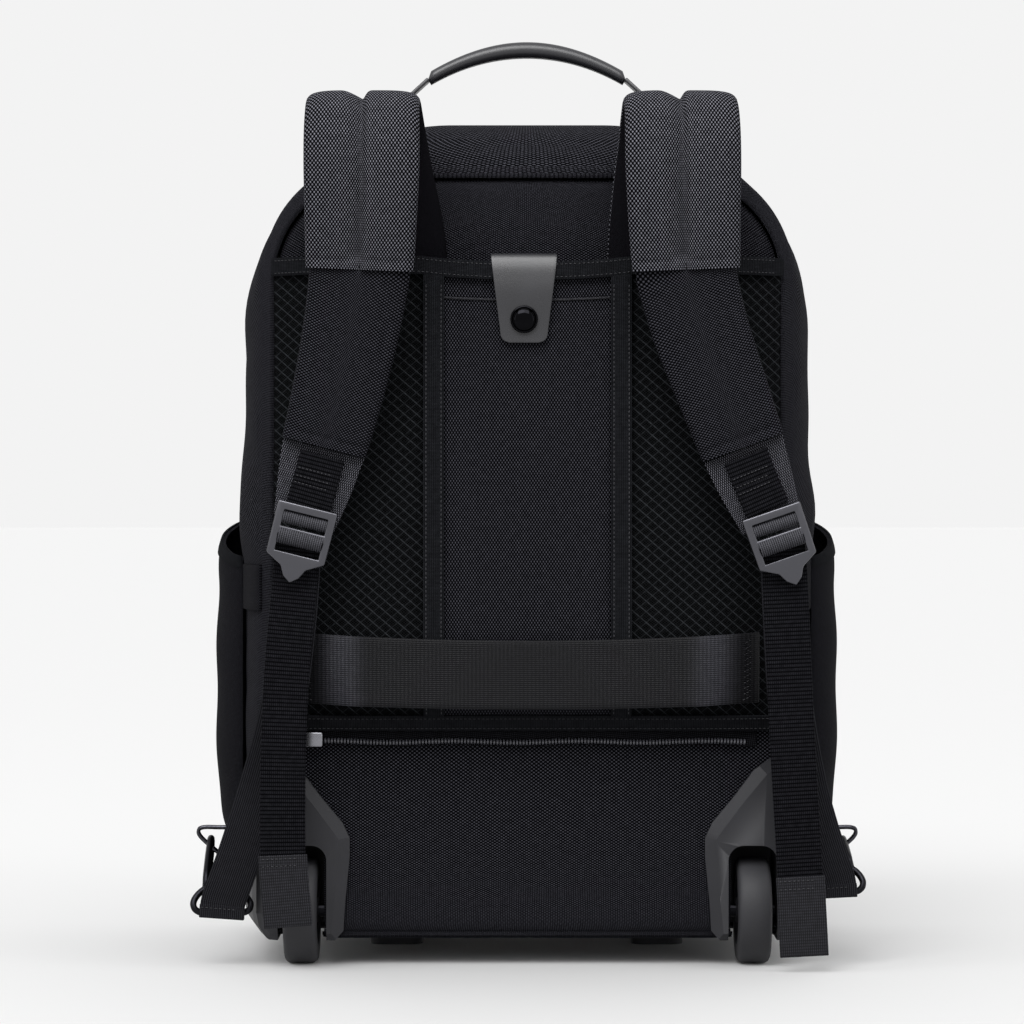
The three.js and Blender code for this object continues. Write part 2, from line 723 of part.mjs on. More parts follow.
function addHarness() {
  piece('harness_centre_panel', centrePanel(), BALLISTIC);
  for (const side of SIDES) {
    piece(`harness_pad_${side.name}`, harnessPad(side), MESH_CLOTH);
    piece(`channel_tape_${side.name}`, channelTape(side), WEBBING);
  }
  const topLow = COVER_TOP - TOP_TAPE / 2;
  const edge = COVER_HALF_WIDTH;
  piece('harness_top_tape',
    acrossStrip(-edge, edge, topLow, topLow + TOP_TAPE, TAPE_THICKNESS), WEBBING);
  piece('harness_bottom_tape',
    acrossStrip(-edge, edge, COVER_BOTTOM, COVER_BOTTOM + BOTTOM_TAPE, TAPE_THICKNESS), WEBBING);
  const zip = new THREE.BoxGeometry(HARNESS_ZIP_HALF_LENGTH * 2, FABRIC_WALL, HARNESS_ZIP_WIDTH);
  const zipMiddle = COVER_BOTTOM - CLEARANCE - HARNESS_ZIP_WIDTH / 2;
  zip.translate(0, -CLEARANCE - FABRIC_WALL / 2, zipMiddle);
  piece('harness_zip', zip, SMOOTH_CLOTH);
  const slider = new THREE.BoxGeometry(SLIDER_LENGTH, SLIDER_THICKNESS, SLIDER_WIDTH);
  const sliderY = -CLEARANCE * 2 - FABRIC_WALL - SLIDER_THICKNESS / 2;
  slider.translate(HARNESS_SLIDER_INSET - HARNESS_ZIP_HALF_LENGTH, sliderY, zipMiddle - CLEARANCE * 2);
  piece('harness_zip_slider', slider, ALUMINIUM);
}

// A flat band held at its ends, which spans the pads and leaves room behind it in the middle
function luggageStrap() {
  const low = LUGGAGE_STRAP_MIDDLE - LUGGAGE_STRAP_WIDTH / 2;
  const high = LUGGAGE_STRAP_MIDDLE + LUGGAGE_STRAP_WIDTH / 2;
  const levels = [low, ...coverLevels.filter((z) => z > low && z < high), high];
  const farthest = (x) => Math.min(...levels.map((z) => coverFront(x, z)));
  const overTape = farthest(PANEL_HALF_WIDTH + CHANNEL_TAPE) - CLEARANCE - TAPE_THICKNESS;
  const span = Math.min(overTape, ...COVER_SECTIONS.map((row) =>
    farthest(row.across * COVER_HALF_WIDTH)));
  const flatTo = COVER_SECTIONS[3].across * COVER_HALF_WIDTH;
  const reach = LUGGAGE_STRAP_HALF_LENGTH;
  return loft(coverStops(-reach, reach).map((x) => {
    const back = (Math.abs(x) <= flatTo + 1 ? span : farthest(x)) - CLEARANCE;
    const front = back - LUGGAGE_STRAP_THICKNESS;
    return [
      new THREE.Vector3(x, back, low), new THREE.Vector3(x, back, high),
      new THREE.Vector3(x, front, high), new THREE.Vector3(x, front, low),
    ];
  }));
}

// Leather flap: from the rear wall over the cover's edge and down its face to the snap
const tapeFront = coverFront(PANEL_HALF_WIDTH, COVER_TOP) - CLEARANCE - TAPE_THICKNESS;
const flapFront = tapeFront - CLEARANCE - FLAP_THICKNESS / 2;
const flapRear = -CLEARANCE - FLAP_THICKNESS / 2;
const flapCrown = COVER_TOP + TOP_TAPE / 2 + CLEARANCE + FLAP_THICKNESS / 2;

function leatherFlap() {
  const rows = [
    [flapRear, COVER_TOP - TOP_TAPE, FLAP_TOP_WIDTH],
    [flapRear, flapCrown, FLAP_TOP_WIDTH],
    [flapRear - FLAP_THICKNESS / 2, flapCrown + FLAP_THICKNESS / 2, FLAP_TOP_WIDTH],
    [flapFront + FLAP_THICKNESS / 2, flapCrown + FLAP_THICKNESS / 2, FLAP_TOP_WIDTH],
    [flapFront, flapCrown, FLAP_TOP_WIDTH],
    [flapFront, COVER_TOP - TOP_TAPE, FLAP_TOP_WIDTH],
    [flapFront, FLAP_TIP + FLAP_CORNER, FLAP_TIP_WIDTH],
    [flapFront, FLAP_TIP + FLAP_CORNER / 3, FLAP_TIP_WIDTH - FLAP_CORNER / 2],
    [flapFront, FLAP_TIP, FLAP_TIP_WIDTH - FLAP_CORNER * 2],
  ];
  return ribbon(rows.map(([y, z, width]) => ({
    place: new THREE.Vector3(FLAP_X, y, z), width, thickness: FLAP_THICKNESS,
  })), FLAT_SECTION);
}

function snapButton() {
  const profile = SNAP_PROFILE.map(({ out, up }) =>
    new THREE.Vector2(out * SNAP_RADIUS, up * SNAP_HEIGHT));
  const dome = new THREE.LatheGeometry(profile, 20);
  dome.rotateX(Math.PI);
  const face = flapFront - FLAP_THICKNESS / 2 - CLEARANCE;
  dome.translate(FLAP_X, face, FLAP_TIP + SNAP_FROM_TIP);
  return dome;
}

// Pull handle: a grip and two bars, pushed down into the pocket
function pullHandle() {
  const low = COVER_BOTTOM + coverHeight * COVER_HEIGHTS[3].up;
  const outer = new THREE.Shape();
  outer.moveTo(-PULL_HALF_WIDTH, low);
  outer.lineTo(-PULL_HALF_WIDTH, PULL_TOP - PULL_BAR);
  outer.lineTo(-PULL_HALF_WIDTH + PULL_BAR, PULL_TOP);
  outer.lineTo(PULL_HALF_WIDTH - PULL_BAR, PULL_TOP);
  outer.lineTo(PULL_HALF_WIDTH, PULL_TOP - PULL_BAR);
  outer.lineTo(PULL_HALF_WIDTH, low);
  outer.lineTo(PULL_HALF_WIDTH - PULL_BAR, low);
  outer.lineTo(PULL_HALF_WIDTH - PULL_BAR, PULL_TOP - PULL_GRIP_HEIGHT);
  outer.lineTo(-PULL_HALF_WIDTH + PULL_BAR, PULL_TOP - PULL_GRIP_HEIGHT);
  outer.lineTo(-PULL_HALF_WIDTH + PULL_BAR, low);
  outer.closePath();
  const thick = POCKET_DEPTH - PULL_ROOM;
  const handle = new THREE.ExtrudeGeometry(outer, { depth: thick, bevelEnabled: false });
  handle.rotateX(Math.PI / 2);
  handle.translate(0, -CLEARANCE, 0);
  return handle;
}

// Ladder buckle: a frame with two slots and a pointed lower edge
function ladderBuckle(side) {
  const half = BUCKLE_WIDTH / 2;
  const high = BUCKLE_HEIGHT / 2;
  const frame = new THREE.Shape();
  const edge = BUCKLE_EDGE.map((row) => [row.across * half, row.up * high - row.tip * BUCKLE_TIP]);
  const mirrored = edge.slice(0, -1).toReversed().map(([x, z]) => [-x, z]);
  frame.setFromPoints([...edge, ...mirrored].map(([x, z]) => new THREE.Vector2(x, z)));
  frame.closePath();
  const inside = half - BUCKLE_RAIL;
  const slotHeight = (BUCKLE_HEIGHT - BUCKLE_RAIL * 3) / 2;
  for (const low of [-high + BUCKLE_RAIL, BUCKLE_RAIL / 2]) {
    const slot = new THREE.Path();
    slot.moveTo(-inside, low);
    slot.lineTo(inside, low);
    slot.lineTo(inside, low + slotHeight);
    slot.lineTo(-inside, low + slotHeight);
    slot.closePath();
    frame.holes.push(slot);
  }
  const { height, across, lean } = BUCKLES[side.name];
  const buckle = new THREE.ExtrudeGeometry(frame, { depth: BUCKLE_THICKNESS, bevelEnabled: false });
  buckle.rotateX(Math.PI / 2);
  buckle.rotateY(THREE.MathUtils.degToRad(lean));
  const linkFront = -LINK_RUN.at(-1).out * ARCH_REACH - WEBBING_THICKNESS / 2;
  const place = strapPlace({ height, across, out: 0 }, side);
  buckle.translate(place.x, linkFront - CLEARANCE * 2, place.z);
  return buckle;
}

function addShoulderStrap(side) {
  const name = `strap_${side.name}`;
  const upper = strapRows(UPPER_RUN, side, PAD_WIDTH, UPPER_PAD_THICKNESS);
  const lower = strapRows(LOWER_RUN, side, PAD_WIDTH, LOWER_PAD_THICKNESS);
  const backing = strapRows(BACKING_RUN, side, PAD_WIDTH, BACKING_THICKNESS);
  piece(`${name}_upper_pad`, ribbon(upper, LOBED_SECTION), BALLISTIC);
  piece(`${name}_lower_pad`, ribbon(lower, PADDED_SECTION), BALLISTIC);
  piece(`${name}_backing`, ribbon(backing, FLAT_SECTION), BALLISTIC);
  const webbing = (rows) => ribbon(strapRows(rows, side, WEBBING_WIDTH, WEBBING_THICKNESS),
    FLAT_SECTION);
  piece(`${name}_link`, webbing(LINK_RUN), WEBBING);
  piece(`${name}_buckle`, ladderBuckle(side), GUNMETAL);
  piece(`${name}_tail`, webbing(TAIL_RUNS[side.name]), WEBBING);
  piece(`${name}_load_webbing`, webbing(LOAD_RUNS[side.name]), WEBBING);
}

// Side ring: a three-cornered wire ring, its straight side held by a tab on the body's side
const ringSeat = bodySide(RING_DEPTH + RING_WIRE + TAPE_THICKNESS) + CLEARANCE;

function sideRingPlace(side, out, down) {
  const rootX = ringSeat + CLEARANCE + TAPE_THICKNESS + RING_WIRE / 2;
  return new THREE.Vector3(
    side.sign * (rootX + out * RING_WIDTH), RING_DEPTH, RING_TOP - down * RING_HEIGHT);
}

function addSideRing(side) {
  const corners = RING_LINE.map(({ out, down }) => sideRingPlace(side, out, down));
  piece(`side_ring_${side.name}`, tube(corners, RING_WIRE / 2, WIRE_SIDES, true), GUNMETAL);
  const bore = RING_WIRE / 2 + CLEARANCE;
  const reach = TAPE_THICKNESS + bore;
  const section = new THREE.Shape();
  section.moveTo(0, -reach);
  section.lineTo(reach, -reach);
  section.absarc(reach, 0, reach, -Math.PI / 2, Math.PI / 2, false);
  section.lineTo(0, reach);
  section.closePath();
  const eye = new THREE.Path();
  eye.absarc(reach, 0, bore, 0, Math.PI * 2, true);
  section.holes.push(eye);
  const tab = new THREE.ExtrudeGeometry(section, {
    depth: RING_TAB_HEIGHT, bevelEnabled: false, curveSegments: 6,
  });
  if (side.sign < 0) tab.rotateZ(Math.PI);
  const low = RING_TOP - RING_HEIGHT / 2 - RING_TAB_HEIGHT / 2;
  tab.translate(side.sign * ringSeat, RING_DEPTH, low);
  piece(`ring_tab_${side.name}`, tab, WEBBING);
}

// Snap hook: a wire loop behind the hem of the load webbing and a long eye round the side ring
function addSnapHook(side) {
  const bar = strapPlace(LOAD_RUNS[side.name].at(-1), side);
  bar.y += (WEBBING_THICKNESS + LOOP_WIRE) / 2 + CLEARANCE * 2;
  const low = bar.z + LOOP_ABOVE_HEM;
  const half = LOOP_WIDTH / 2;
  const at = ({ out, up, back }) => new THREE.Vector3(
    bar.x + side.sign * out * half, bar.y + back * LOOP_WIRE, low + up * LOOP_HEIGHT);
  const base = toSolid(tube(LOOP_LINE.map(at), LOOP_WIRE / 2, TUBE_SIDES, true));
  const foot = at(LOOP_FOOT);
  const held = sideRingPlace(side, HELD_AT.out, HELD_AT.down);
  const along = new THREE.Vector3().subVectors(held, foot);
  const length = along.length();
  along.normalize();
  const level = new THREE.Vector3(-along.z, 0, along.x).normalize();
  const across = new THREE.Vector3().crossVectors(along, level);
  const body = toSolid(tube(HOOK_LINE.map((row) => foot.clone()
    .addScaledVector(along, row.along * length)
    .addScaledVector(across, (row.out * HOOK_WIDTH) / 2)), HOOK_WIRE / 2, WIRE_SIDES, true));
  piece(`snap_hook_${side.name}`, toGeometry(base.add(body)), BLACK_METAL);
}

// Side pocket: a bellied wall of cloth on the body's side, open at the top
function pocketBelly(side, inset) {
  const steps = 12;
  const height = POCKET_TOP - POCKET_BOTTOM;
  const rows = POCKET_ROWS.map((row) => ({
    z: POCKET_BOTTOM + row.up * height,
    bulge: row.bulge * POCKET_BULGE,
    drop: row.up * row.up * POCKET_REAR_DROP,
  }));
  if (inset > 0) {
    rows[0].z += inset;
    rows.push({ ...rows.at(-1), z: POCKET_TOP + REACH_PAST });
  }
  return loft(rows.map(({ z, bulge, drop }) => {
    const ring = [];
    const rear = POCKET_REAR + inset;
    const front = POCKET_FRONT - inset;
    for (let i = 0; i <= steps; i++) {
      const share = i / steps;
      const belly = Math.pow(Math.sin(Math.PI * share), POCKET_ROUNDNESS);
      const y = THREE.MathUtils.lerp(rear, front, share);
      const x = bodySide(y) + Math.max(bulge - inset, 0) * belly + FABRIC_WALL - inset;
      ring.push(new THREE.Vector3(side.sign * x, y, z - drop * (1 - share)));
    }
    const inner = side.sign * (BODY_HALF_WIDTH - REACH_PAST);
    ring.push(new THREE.Vector3(inner, front, z), new THREE.Vector3(inner, rear, z - drop));
    return ring;
  }));
}

function sidePocket(side, body) {
  const belly = toSolid(pocketBelly(side, 0));
  const room = toSolid(pocketBelly(side, FABRIC_WALL));
  return toGeometry(belly.subtract(room).subtract(body));
}

function sideTab(side) {
  const stops = bodyDepths(TAB_REAR, POCKET_REAR - CLEARANCE);
  return loft(stops.map((y) => {
    const inner = bodySide(y) + CLEARANCE;
    const outer = inner + TAB_THICKNESS;
    return [
      new THREE.Vector3(side.sign * inner, y, TAB_TOP),
      new THREE.Vector3(side.sign * outer, y, TAB_TOP),
      new THREE.Vector3(side.sign * outer, y, TAB_TOP - TAB_HEIGHT),
      new THREE.Vector3(side.sign * inner, y, TAB_TOP - TAB_HEIGHT),
    ];
  }));
}

// Carry handle: a rolled leather grip and a leather strip at each end down to the body
function addCarryHandle() {
  const steps = 6;
  const points = [];
  for (let i = 0; i <= steps; i++) {
    const across = THREE.MathUtils.lerp(-1, 1, i / steps);
    points.push(new THREE.Vector3(
      across * GRIP_HALF_LENGTH, GRIP_DEPTH, GRIP_CROWN - GRIP_RISE * across * across));
  }
  piece('carry_grip', tube(points, GRIP_THICKNESS / 2, 10, false), LEATHER);
  for (const side of SIDES) {
    const end = GRIP_CROWN - GRIP_RISE;
    const { top, halfWidth, corner } = bodySection(GRIP_DEPTH);
    const past = HANDLE_ROOT_X - (halfWidth - corner);
    const root = top - corner + Math.sqrt(corner * corner - past * past);
    const low = root + HANDLE_STRIP_THICKNESS * HANDLE_STRIP_LIFT;
    const start = GRIP_HALF_LENGTH + CLEARANCE * 2;
    const halfway = [(start + HANDLE_ROOT_X) / 2, THREE.MathUtils.lerp(end, low, HANDLE_STRIP_BEND)];
    const rows = [[start, end], halfway, [HANDLE_ROOT_X, low]];
    const strip = ribbonAlongDepth(rows.map(([x, z]) => new THREE.Vector3(side.sign * x, GRIP_DEPTH, z)),
      HANDLE_STRIP_WIDTH, HANDLE_STRIP_THICKNESS);
    piece(`handle_strip_${side.name}`, strip, LEATHER);
  }
}

// A strap whose width lies along the depth.
function ribbonAlongDepth(places, width, thickness) {
  const rings = places.map((place, i) => {
    const before = places[Math.max(i - 1, 0)];
    const after = places[Math.min(i + 1, places.length - 1)];
    const along = new THREE.Vector3().subVectors(after, before).normalize();
    const through = new THREE.Vector3(-along.z, 0, along.x);
    return FLAT_SECTION.map(([wide, thick]) => place.clone()
      .add(new THREE.Vector3(0, (wide * width) / 2, 0))
      .addScaledVector(through, (thick * thickness) / 2));
  });
  return loft(rings);
}

// Wheel housing: a moulded corner with a well for the wheel, open behind and below
const housingBottom = BODY_BOTTOM - HOUSING_BELOW;
const housingWidth = HOUSING_OUTER_X - HOUSING_INNER_X;

function housingBlock(side, grow, from, to) {
  const height = HOUSING_TOP - housingBottom;
  const middleX = HOUSING_INNER_X + housingWidth / 2;
  const middleZ = housingBottom + height / 2;
  const shape = new THREE.Shape(HOUSING_OUTLINE.map(({ out, up }) => {
    const x = HOUSING_INNER_X + out * housingWidth;
    const z = housingBottom + up * height;
    return new THREE.Vector2(
      side.sign * (middleX + (x - middleX) * (1 + (2 * grow) / housingWidth)),
      middleZ + (z - middleZ) * (1 + (2 * grow) / height));
  }));
  const block = new THREE.ExtrudeGeometry(shape, { depth: to - from, bevelEnabled: false });
  block.rotateX(Math.PI / 2);
  block.translate(0, to, 0);
  return toSolid(block);
}

function housingSkin(inset) {
  const rings = HOUSING_CORNER.map(({ proud, depth, off }) => {
    const y = depth * HOUSING_DEPTH - proud * HOUSING_PROUD;
    return bodyRing(Math.max(y, 0), off * HOUSING_PROUD - inset, y);
  });
  rings[0].forEach((point) => { point.y += inset; });
  const last = rings.at(-1).map((point) => point.clone().setY(HOUSING_DEPTH + REACH_PAST));
  return toSolid(loft(inset > 0 ? [...rings, last] : rings));
}

function wellBlock(side, grow, from, to) {
  const near = WELL_INNER_X - grow;
  const far = WELL_OUTER_X + grow;
  const top = WELL_TOP + grow;
  const low = grow > 0 ? housingBottom : housingBottom - REACH_PAST;
  const shape = new THREE.Shape();
  shape.moveTo(near, low);
  shape.lineTo(far, low);
  shape.lineTo(far, top - WELL_CORNER);
  shape.absarc(far - WELL_CORNER, top - WELL_CORNER, WELL_CORNER, 0, Math.PI / 2, false);
  shape.absarc(near + WELL_CORNER, top - WELL_CORNER, WELL_CORNER, Math.PI / 2, Math.PI, false);
  shape.closePath();
  const block = new THREE.ExtrudeGeometry(shape, {
    depth: to - from, bevelEnabled: false, curveSegments: SMALL_CORNER_STEPS,
  });
  block.rotateX(Math.PI / 2);
  block.translate(0, to, 0);
  return side.sign > 0 ? toSolid(block) : toSolid(block).mirror([1, 0, 0]);
}

const wellDepth = AXLE_DEPTH + WHEEL_RADIUS + WELL_CLEAR;

function wheelHousing(side) {
  const block = housingBlock(side, 0, -HOUSING_PROUD, HOUSING_DEPTH).intersect(housingSkin(0));
  const room = housingBlock(side, -HOUSING_WALL, -HOUSING_PROUD + HOUSING_WALL,
    HOUSING_DEPTH + REACH_PAST).intersect(housingSkin(HOUSING_WALL));
  const wellShell = wellBlock(side, HOUSING_WALL, -HOUSING_PROUD, wellDepth + HOUSING_WALL);
  const well = wellBlock(side, 0, -HOUSING_PROUD - REACH_PAST, wellDepth);
  return block.subtract(room.subtract(wellShell)).subtract(well);
}

function addWheel(side) {
  const cylinder = (radius, from, to, sides) => {
    const rod = new THREE.CylinderGeometry(radius, radius, to - from, sides);
    rod.rotateZ(Math.PI / 2);
    rod.translate(side.sign * (from + to) / 2, AXLE_DEPTH, AXLE_HEIGHT);
    return rod;
  };
  piece(`axle_${side.name}`,
    cylinder(AXLE_RADIUS, WELL_INNER_X + CLEARANCE, WELL_OUTER_X - CLEARANCE, 16), ALUMINIUM);
  const ring = (profile) => {
    const points = [...profile, profile[0]].reverse().map(([radius, along]) =>
      new THREE.Vector2(radius, along));
    const turned = new THREE.LatheGeometry(points, 32);
    turned.rotateZ(Math.PI / 2);
    turned.translate(side.sign * WHEEL_X, AXLE_DEPTH, AXLE_HEIGHT);
    return turned;
  };
  const half = WHEEL_WIDTH / 2;
  const hubHalf = half - HUB_INSET;
  const bore = AXLE_RADIUS + CLEARANCE;
  const web = WEB_THICKNESS / 2;
  const boss = bore + BOSS_WALL;
  piece(`hub_${side.name}`, ring([
    [bore, -half], [bore, half], [boss, half], [boss, web], [HUB_RADIUS - RIM_WALL, web],
    [HUB_RADIUS - RIM_WALL, hubHalf], [HUB_RADIUS, hubHalf], [HUB_RADIUS, -hubHalf],
    [HUB_RADIUS - RIM_WALL, -hubHalf], [HUB_RADIUS - RIM_WALL, -web], [boss, -web],
    [boss, -half],
  ]), PLASTIC);
  const inner = HUB_RADIUS + CLEARANCE;
  piece(`tyre_${side.name}`, ring([
    [inner, -half], [inner, half], [WHEEL_RADIUS - TREAD_ROUND, half],
    [WHEEL_RADIUS - TREAD_ROUND / 3, half - TREAD_ROUND / 3],
    [WHEEL_RADIUS, half - TREAD_ROUND], [WHEEL_RADIUS, TREAD_ROUND - half],
    [WHEEL_RADIUS - TREAD_ROUND / 3, TREAD_ROUND / 3 - half],
    [WHEEL_RADIUS - TREAD_ROUND, -half],
  ]), RUBBER);
}

function foot(side) {
  const half = FOOT_WIDTH / 2;
  const reach = FOOT_LENGTH / 2;
  const r = FOOT_CORNER;
  const shape = new THREE.Shape();
  shape.absarc(half - r, reach - r, r, 0, Math.PI / 2, false);
  shape.absarc(r - half, reach - r, r, Math.PI / 2, Math.PI, false);
  shape.absarc(r - half, r - reach, r, Math.PI, Math.PI * 1.5, false);
  shape.absarc(half - r, r - reach, r, Math.PI * 1.5, Math.PI * 2, false);
  shape.closePath();
  const height = BODY_BOTTOM - CLEARANCE - FLOOR;
  const pad = new THREE.ExtrudeGeometry(shape, {
    depth: height, bevelEnabled: false, curveSegments: SMALL_CORNER_STEPS,
  });
  pad.translate(side.sign * FOOT_X, FOOT_MIDDLE, FLOOR);
  return pad;
}

const bodyOutside = toSolid(bodyEnvelope(CLEARANCE));
let rear = toSolid(rearShell());
for (const side of SIDES) {
  const hole = housingBlock(side, CLEARANCE, -REACH_PAST, HOUSING_DEPTH + CLEARANCE);
  rear = rear.subtract(hole);
}
piece('rear_shell', toGeometry(rear), BALLISTIC);
piece('front_shell', frontShell(), BALLISTIC);
piece('main_zip', mainZip(), SMOOTH_CLOTH);
addMainZipPull();
addHarness();
piece('luggage_strap', luggageStrap(), WEBBING);
piece('trolley_flap', leatherFlap(), LEATHER);
piece('flap_snap', snapButton(), BLACK_METAL);
piece('pull_handle', pullHandle(), ALUMINIUM);
addCarryHandle();
for (const side of SIDES) {
  addShoulderStrap(side);
  addSideRing(side);
  addSnapHook(side);
  piece(`side_pocket_${side.name}`, sidePocket(side, bodyOutside), SMOOTH_CLOTH);
  piece(`side_tab_${side.name}`, sideTab(side), WEBBING);
  piece(`wheel_housing_${side.name}`, toGeometry(wheelHousing(side)), PLASTIC);
  addWheel(side);
  piece(`foot_${side.name}`, foot(side), PLASTIC);
}

// The origin is on the floor under the middle of the whole.
backpack.updateMatrixWorld(true);
const whole = new THREE.Box3().setFromObject(backpack, true);
const middle = whole.getCenter(new THREE.Vector3());
backpack.position.set(-middle.x, -middle.y, -whole.min.z);
backpack.updateMatrixWorld(true);

export default backpack;
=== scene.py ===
import math

import bpy
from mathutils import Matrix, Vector


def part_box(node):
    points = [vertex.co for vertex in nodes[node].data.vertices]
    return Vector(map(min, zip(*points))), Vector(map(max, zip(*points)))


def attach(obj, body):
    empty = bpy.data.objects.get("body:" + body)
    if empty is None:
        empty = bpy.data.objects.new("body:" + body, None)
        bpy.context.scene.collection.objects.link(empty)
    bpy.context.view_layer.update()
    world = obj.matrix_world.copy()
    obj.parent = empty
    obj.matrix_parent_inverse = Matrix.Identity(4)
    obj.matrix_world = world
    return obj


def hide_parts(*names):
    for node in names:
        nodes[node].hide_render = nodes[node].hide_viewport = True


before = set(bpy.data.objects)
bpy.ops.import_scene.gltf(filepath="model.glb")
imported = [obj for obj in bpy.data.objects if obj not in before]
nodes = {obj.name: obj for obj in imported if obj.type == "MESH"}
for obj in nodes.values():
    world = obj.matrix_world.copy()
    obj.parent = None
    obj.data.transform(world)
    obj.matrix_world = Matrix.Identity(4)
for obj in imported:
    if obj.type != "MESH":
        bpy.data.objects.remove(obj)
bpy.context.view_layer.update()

# Where the bag stands. Sizes below are millimetres from the bag's own zero: the middle of its
# width, the plane of its rear wall and the height of its hem line. The harness side looks
# towards -Y, and the wheels stand a little lower than that zero.
FLOOR = -3.6
shell_low, shell_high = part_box("rear_shell")
MIDDLE_X = (shell_low.x + shell_high.x) / 2
REAR_WALL_Y = shell_low.y


def at(x, y, z):
    return Vector((MIDDLE_X + x / 1000, REAR_WALL_Y + y / 1000, (z - FLOOR) / 1000))


# Camera: the photograph looks square at the harness side, a little below the middle of the bag,
# from about two metres away with a long lens.
CAMERA_X, CAMERA_BACK, CAMERA_HEIGHT = -9, 2020, 262
LENS, SENSOR = 121.2, 36

camera = bpy.data.objects.new("camera", bpy.data.cameras.new("camera"))
bpy.context.collection.objects.link(camera)
camera.location = at(CAMERA_X, -CAMERA_BACK, CAMERA_HEIGHT)
camera.rotation_euler = (math.radians(90), 0, 0)
camera.data.lens, camera.data.sensor_width = LENS, SENSOR
camera.data.clip_start, camera.data.clip_end = 0.05, 60
bpy.context.scene.camera = camera


# Studio: a white room with one broad light high behind the camera, a large soft box close over the
# bag, which lights its top most, and a long soft box on each side.
STUDIO_WHITE = "#F3F3F3"
FLOOR_WHITE = "#E9E9E9"


def paint(code):
    """An sRGB hex colour as the linear colour that the shaders take."""
    parts = [int(code[i:i + 2], 16) / 255 for i in (1, 3, 5)]
    return (*[c / 12.92 if c <= 0.04045 else ((c + 0.055) / 1.055) ** 2.4 for c in parts], 1)


def add(tree, kind, inputs=None, **settings):
    """Adds a node with its settings, and sets or links its inputs."""
    made = tree.nodes.new("ShaderNode" + kind)
    for name, value in settings.items():
        setattr(made, name, value)
    for socket, value in (inputs or {}).items():
        if isinstance(value, bpy.types.NodeSocket):
            tree.links.new(value, made.inputs[socket])
        else:
            made.inputs[socket].default_value = value
    return made


def new_material(name, **shader):
    """A material with its main shader's own sockets set: its node tree and that shader."""
    made = bpy.data.materials.new(name)
    made.use_nodes = True
    gloss = made.node_tree.nodes["Principled BSDF"]
    for socket, value in shader.items():
        gloss.inputs[socket.replace("_", " ")].default_value = value
    return made, made.node_tree, gloss


def lamp(name, kind, place, aim, energy, **settings):
    made = bpy.data.objects.new(name, bpy.data.lights.new(name, kind))
    bpy.context.collection.objects.link(made)
    made.location = place
    made.rotation_euler = (Vector(aim) - Vector(place)).to_track_quat("-Z", "Y").to_euler()
    made.data.energy = energy
    for setting, value in settings.items():
        setattr(made.data, setting, value)
    return made


# Painted studio floor, rolled matt: pale, with hardly any gloss
studio_floor, tree, gloss = new_material(
    "painted_studio_floor", Base_Color=paint(FLOOR_WHITE), Roughness=0.85)
grain = add(tree, "TexNoise", {"Scale": 3.0, "Detail": 4.0})
shade = add(tree, "MapRange", {"Value": grain.outputs[0], "To Min": 0.82, "To Max": 0.9})
tree.links.new(shade.outputs[0], gloss.inputs["Roughness"])

bpy.ops.object.select_all(action="DESELECT")
bpy.ops.mesh.primitive_plane_add(size=400)
floor = bpy.context.object
floor.name = "studio_floor"
floor.data.materials.append(studio_floor)

world = bpy.data.worlds.new("studio")
world.use_nodes = True
world.node_tree.nodes["Background"].inputs["Color"].default_value = paint(STUDIO_WHITE)
world.node_tree.nodes["Background"].inputs["Strength"].default_value = 1.0
bpy.context.scene.world = world
bpy.context.scene.view_settings.view_transform = "Standard"

BAG_CENTRE = at(0, 90, 280)
lamp("high_light", "SUN", at(-900, -2200, 2900), BAG_CENTRE, 1.0, angle=math.radians(35))
top_light = lamp("top_soft_box", "AREA", at(-60, -620, 1120), at(0, 0, 380), 13,
                 shape="RECTANGLE", size=1.1, size_y=0.6)
lamp("left_soft_box", "AREA", at(-1700, -900, 1100), BAG_CENTRE, 5,
     shape="RECTANGLE", size=0.5, size_y=1.8)
lamp("right_soft_box", "AREA", at(1700, -900, 1000), BAG_CENTRE, 5,
     shape="RECTANGLE", size=0.5, size_y=1.8)
# A black flag keeps the light of the top soft box off the floor
flagged = bpy.data.collections.new("behind_the_flag")
flagged.objects.link(floor)
top_light.light_linking.receiver_collection = flagged
flagged.collection_objects[0].light_linking.link_state = "EXCLUDE"


# Main body: a soft box of black ballistic nylon over foam. A back panel and a front panel are
# sewn with a turned seam to a broad gusset, which the main zip divides.
HALF_WIDTH, TOP, BOTTOM, DEPTH = 171, 497, 14, 205
TOP_CORNER, BOTTOM_CORNER = 125, 13
ZIP_DEPTH, ZIP_WIDTH = 160, 9
BODY_SECTIONS = [
    # share of depth, of half width, of height and of the top corner
    (0, 0.885, 0.925, 0.505), (0.03, 0.915, 0.95, 0.62), (0.1, 0.948, 0.974, 0.82),
    (0.22, 0.978, 0.992, 0.96), (0.42, 1, 1, 1), (0.64, 1, 0.998, 1),
    (0.82, 0.982, 0.984, 0.92), (0.93, 0.95, 0.962, 0.8), (0.98, 0.92, 0.942, 0.7),
    (1, 0.89, 0.925, 0.62),
]
# Ballistic nylon's knuckles stand 1.76 mm apart in rows 1.35 mm apart, each row shifted by half
WEAVE_PITCH, WEAVE_STRETCH = 0.88, 1.53


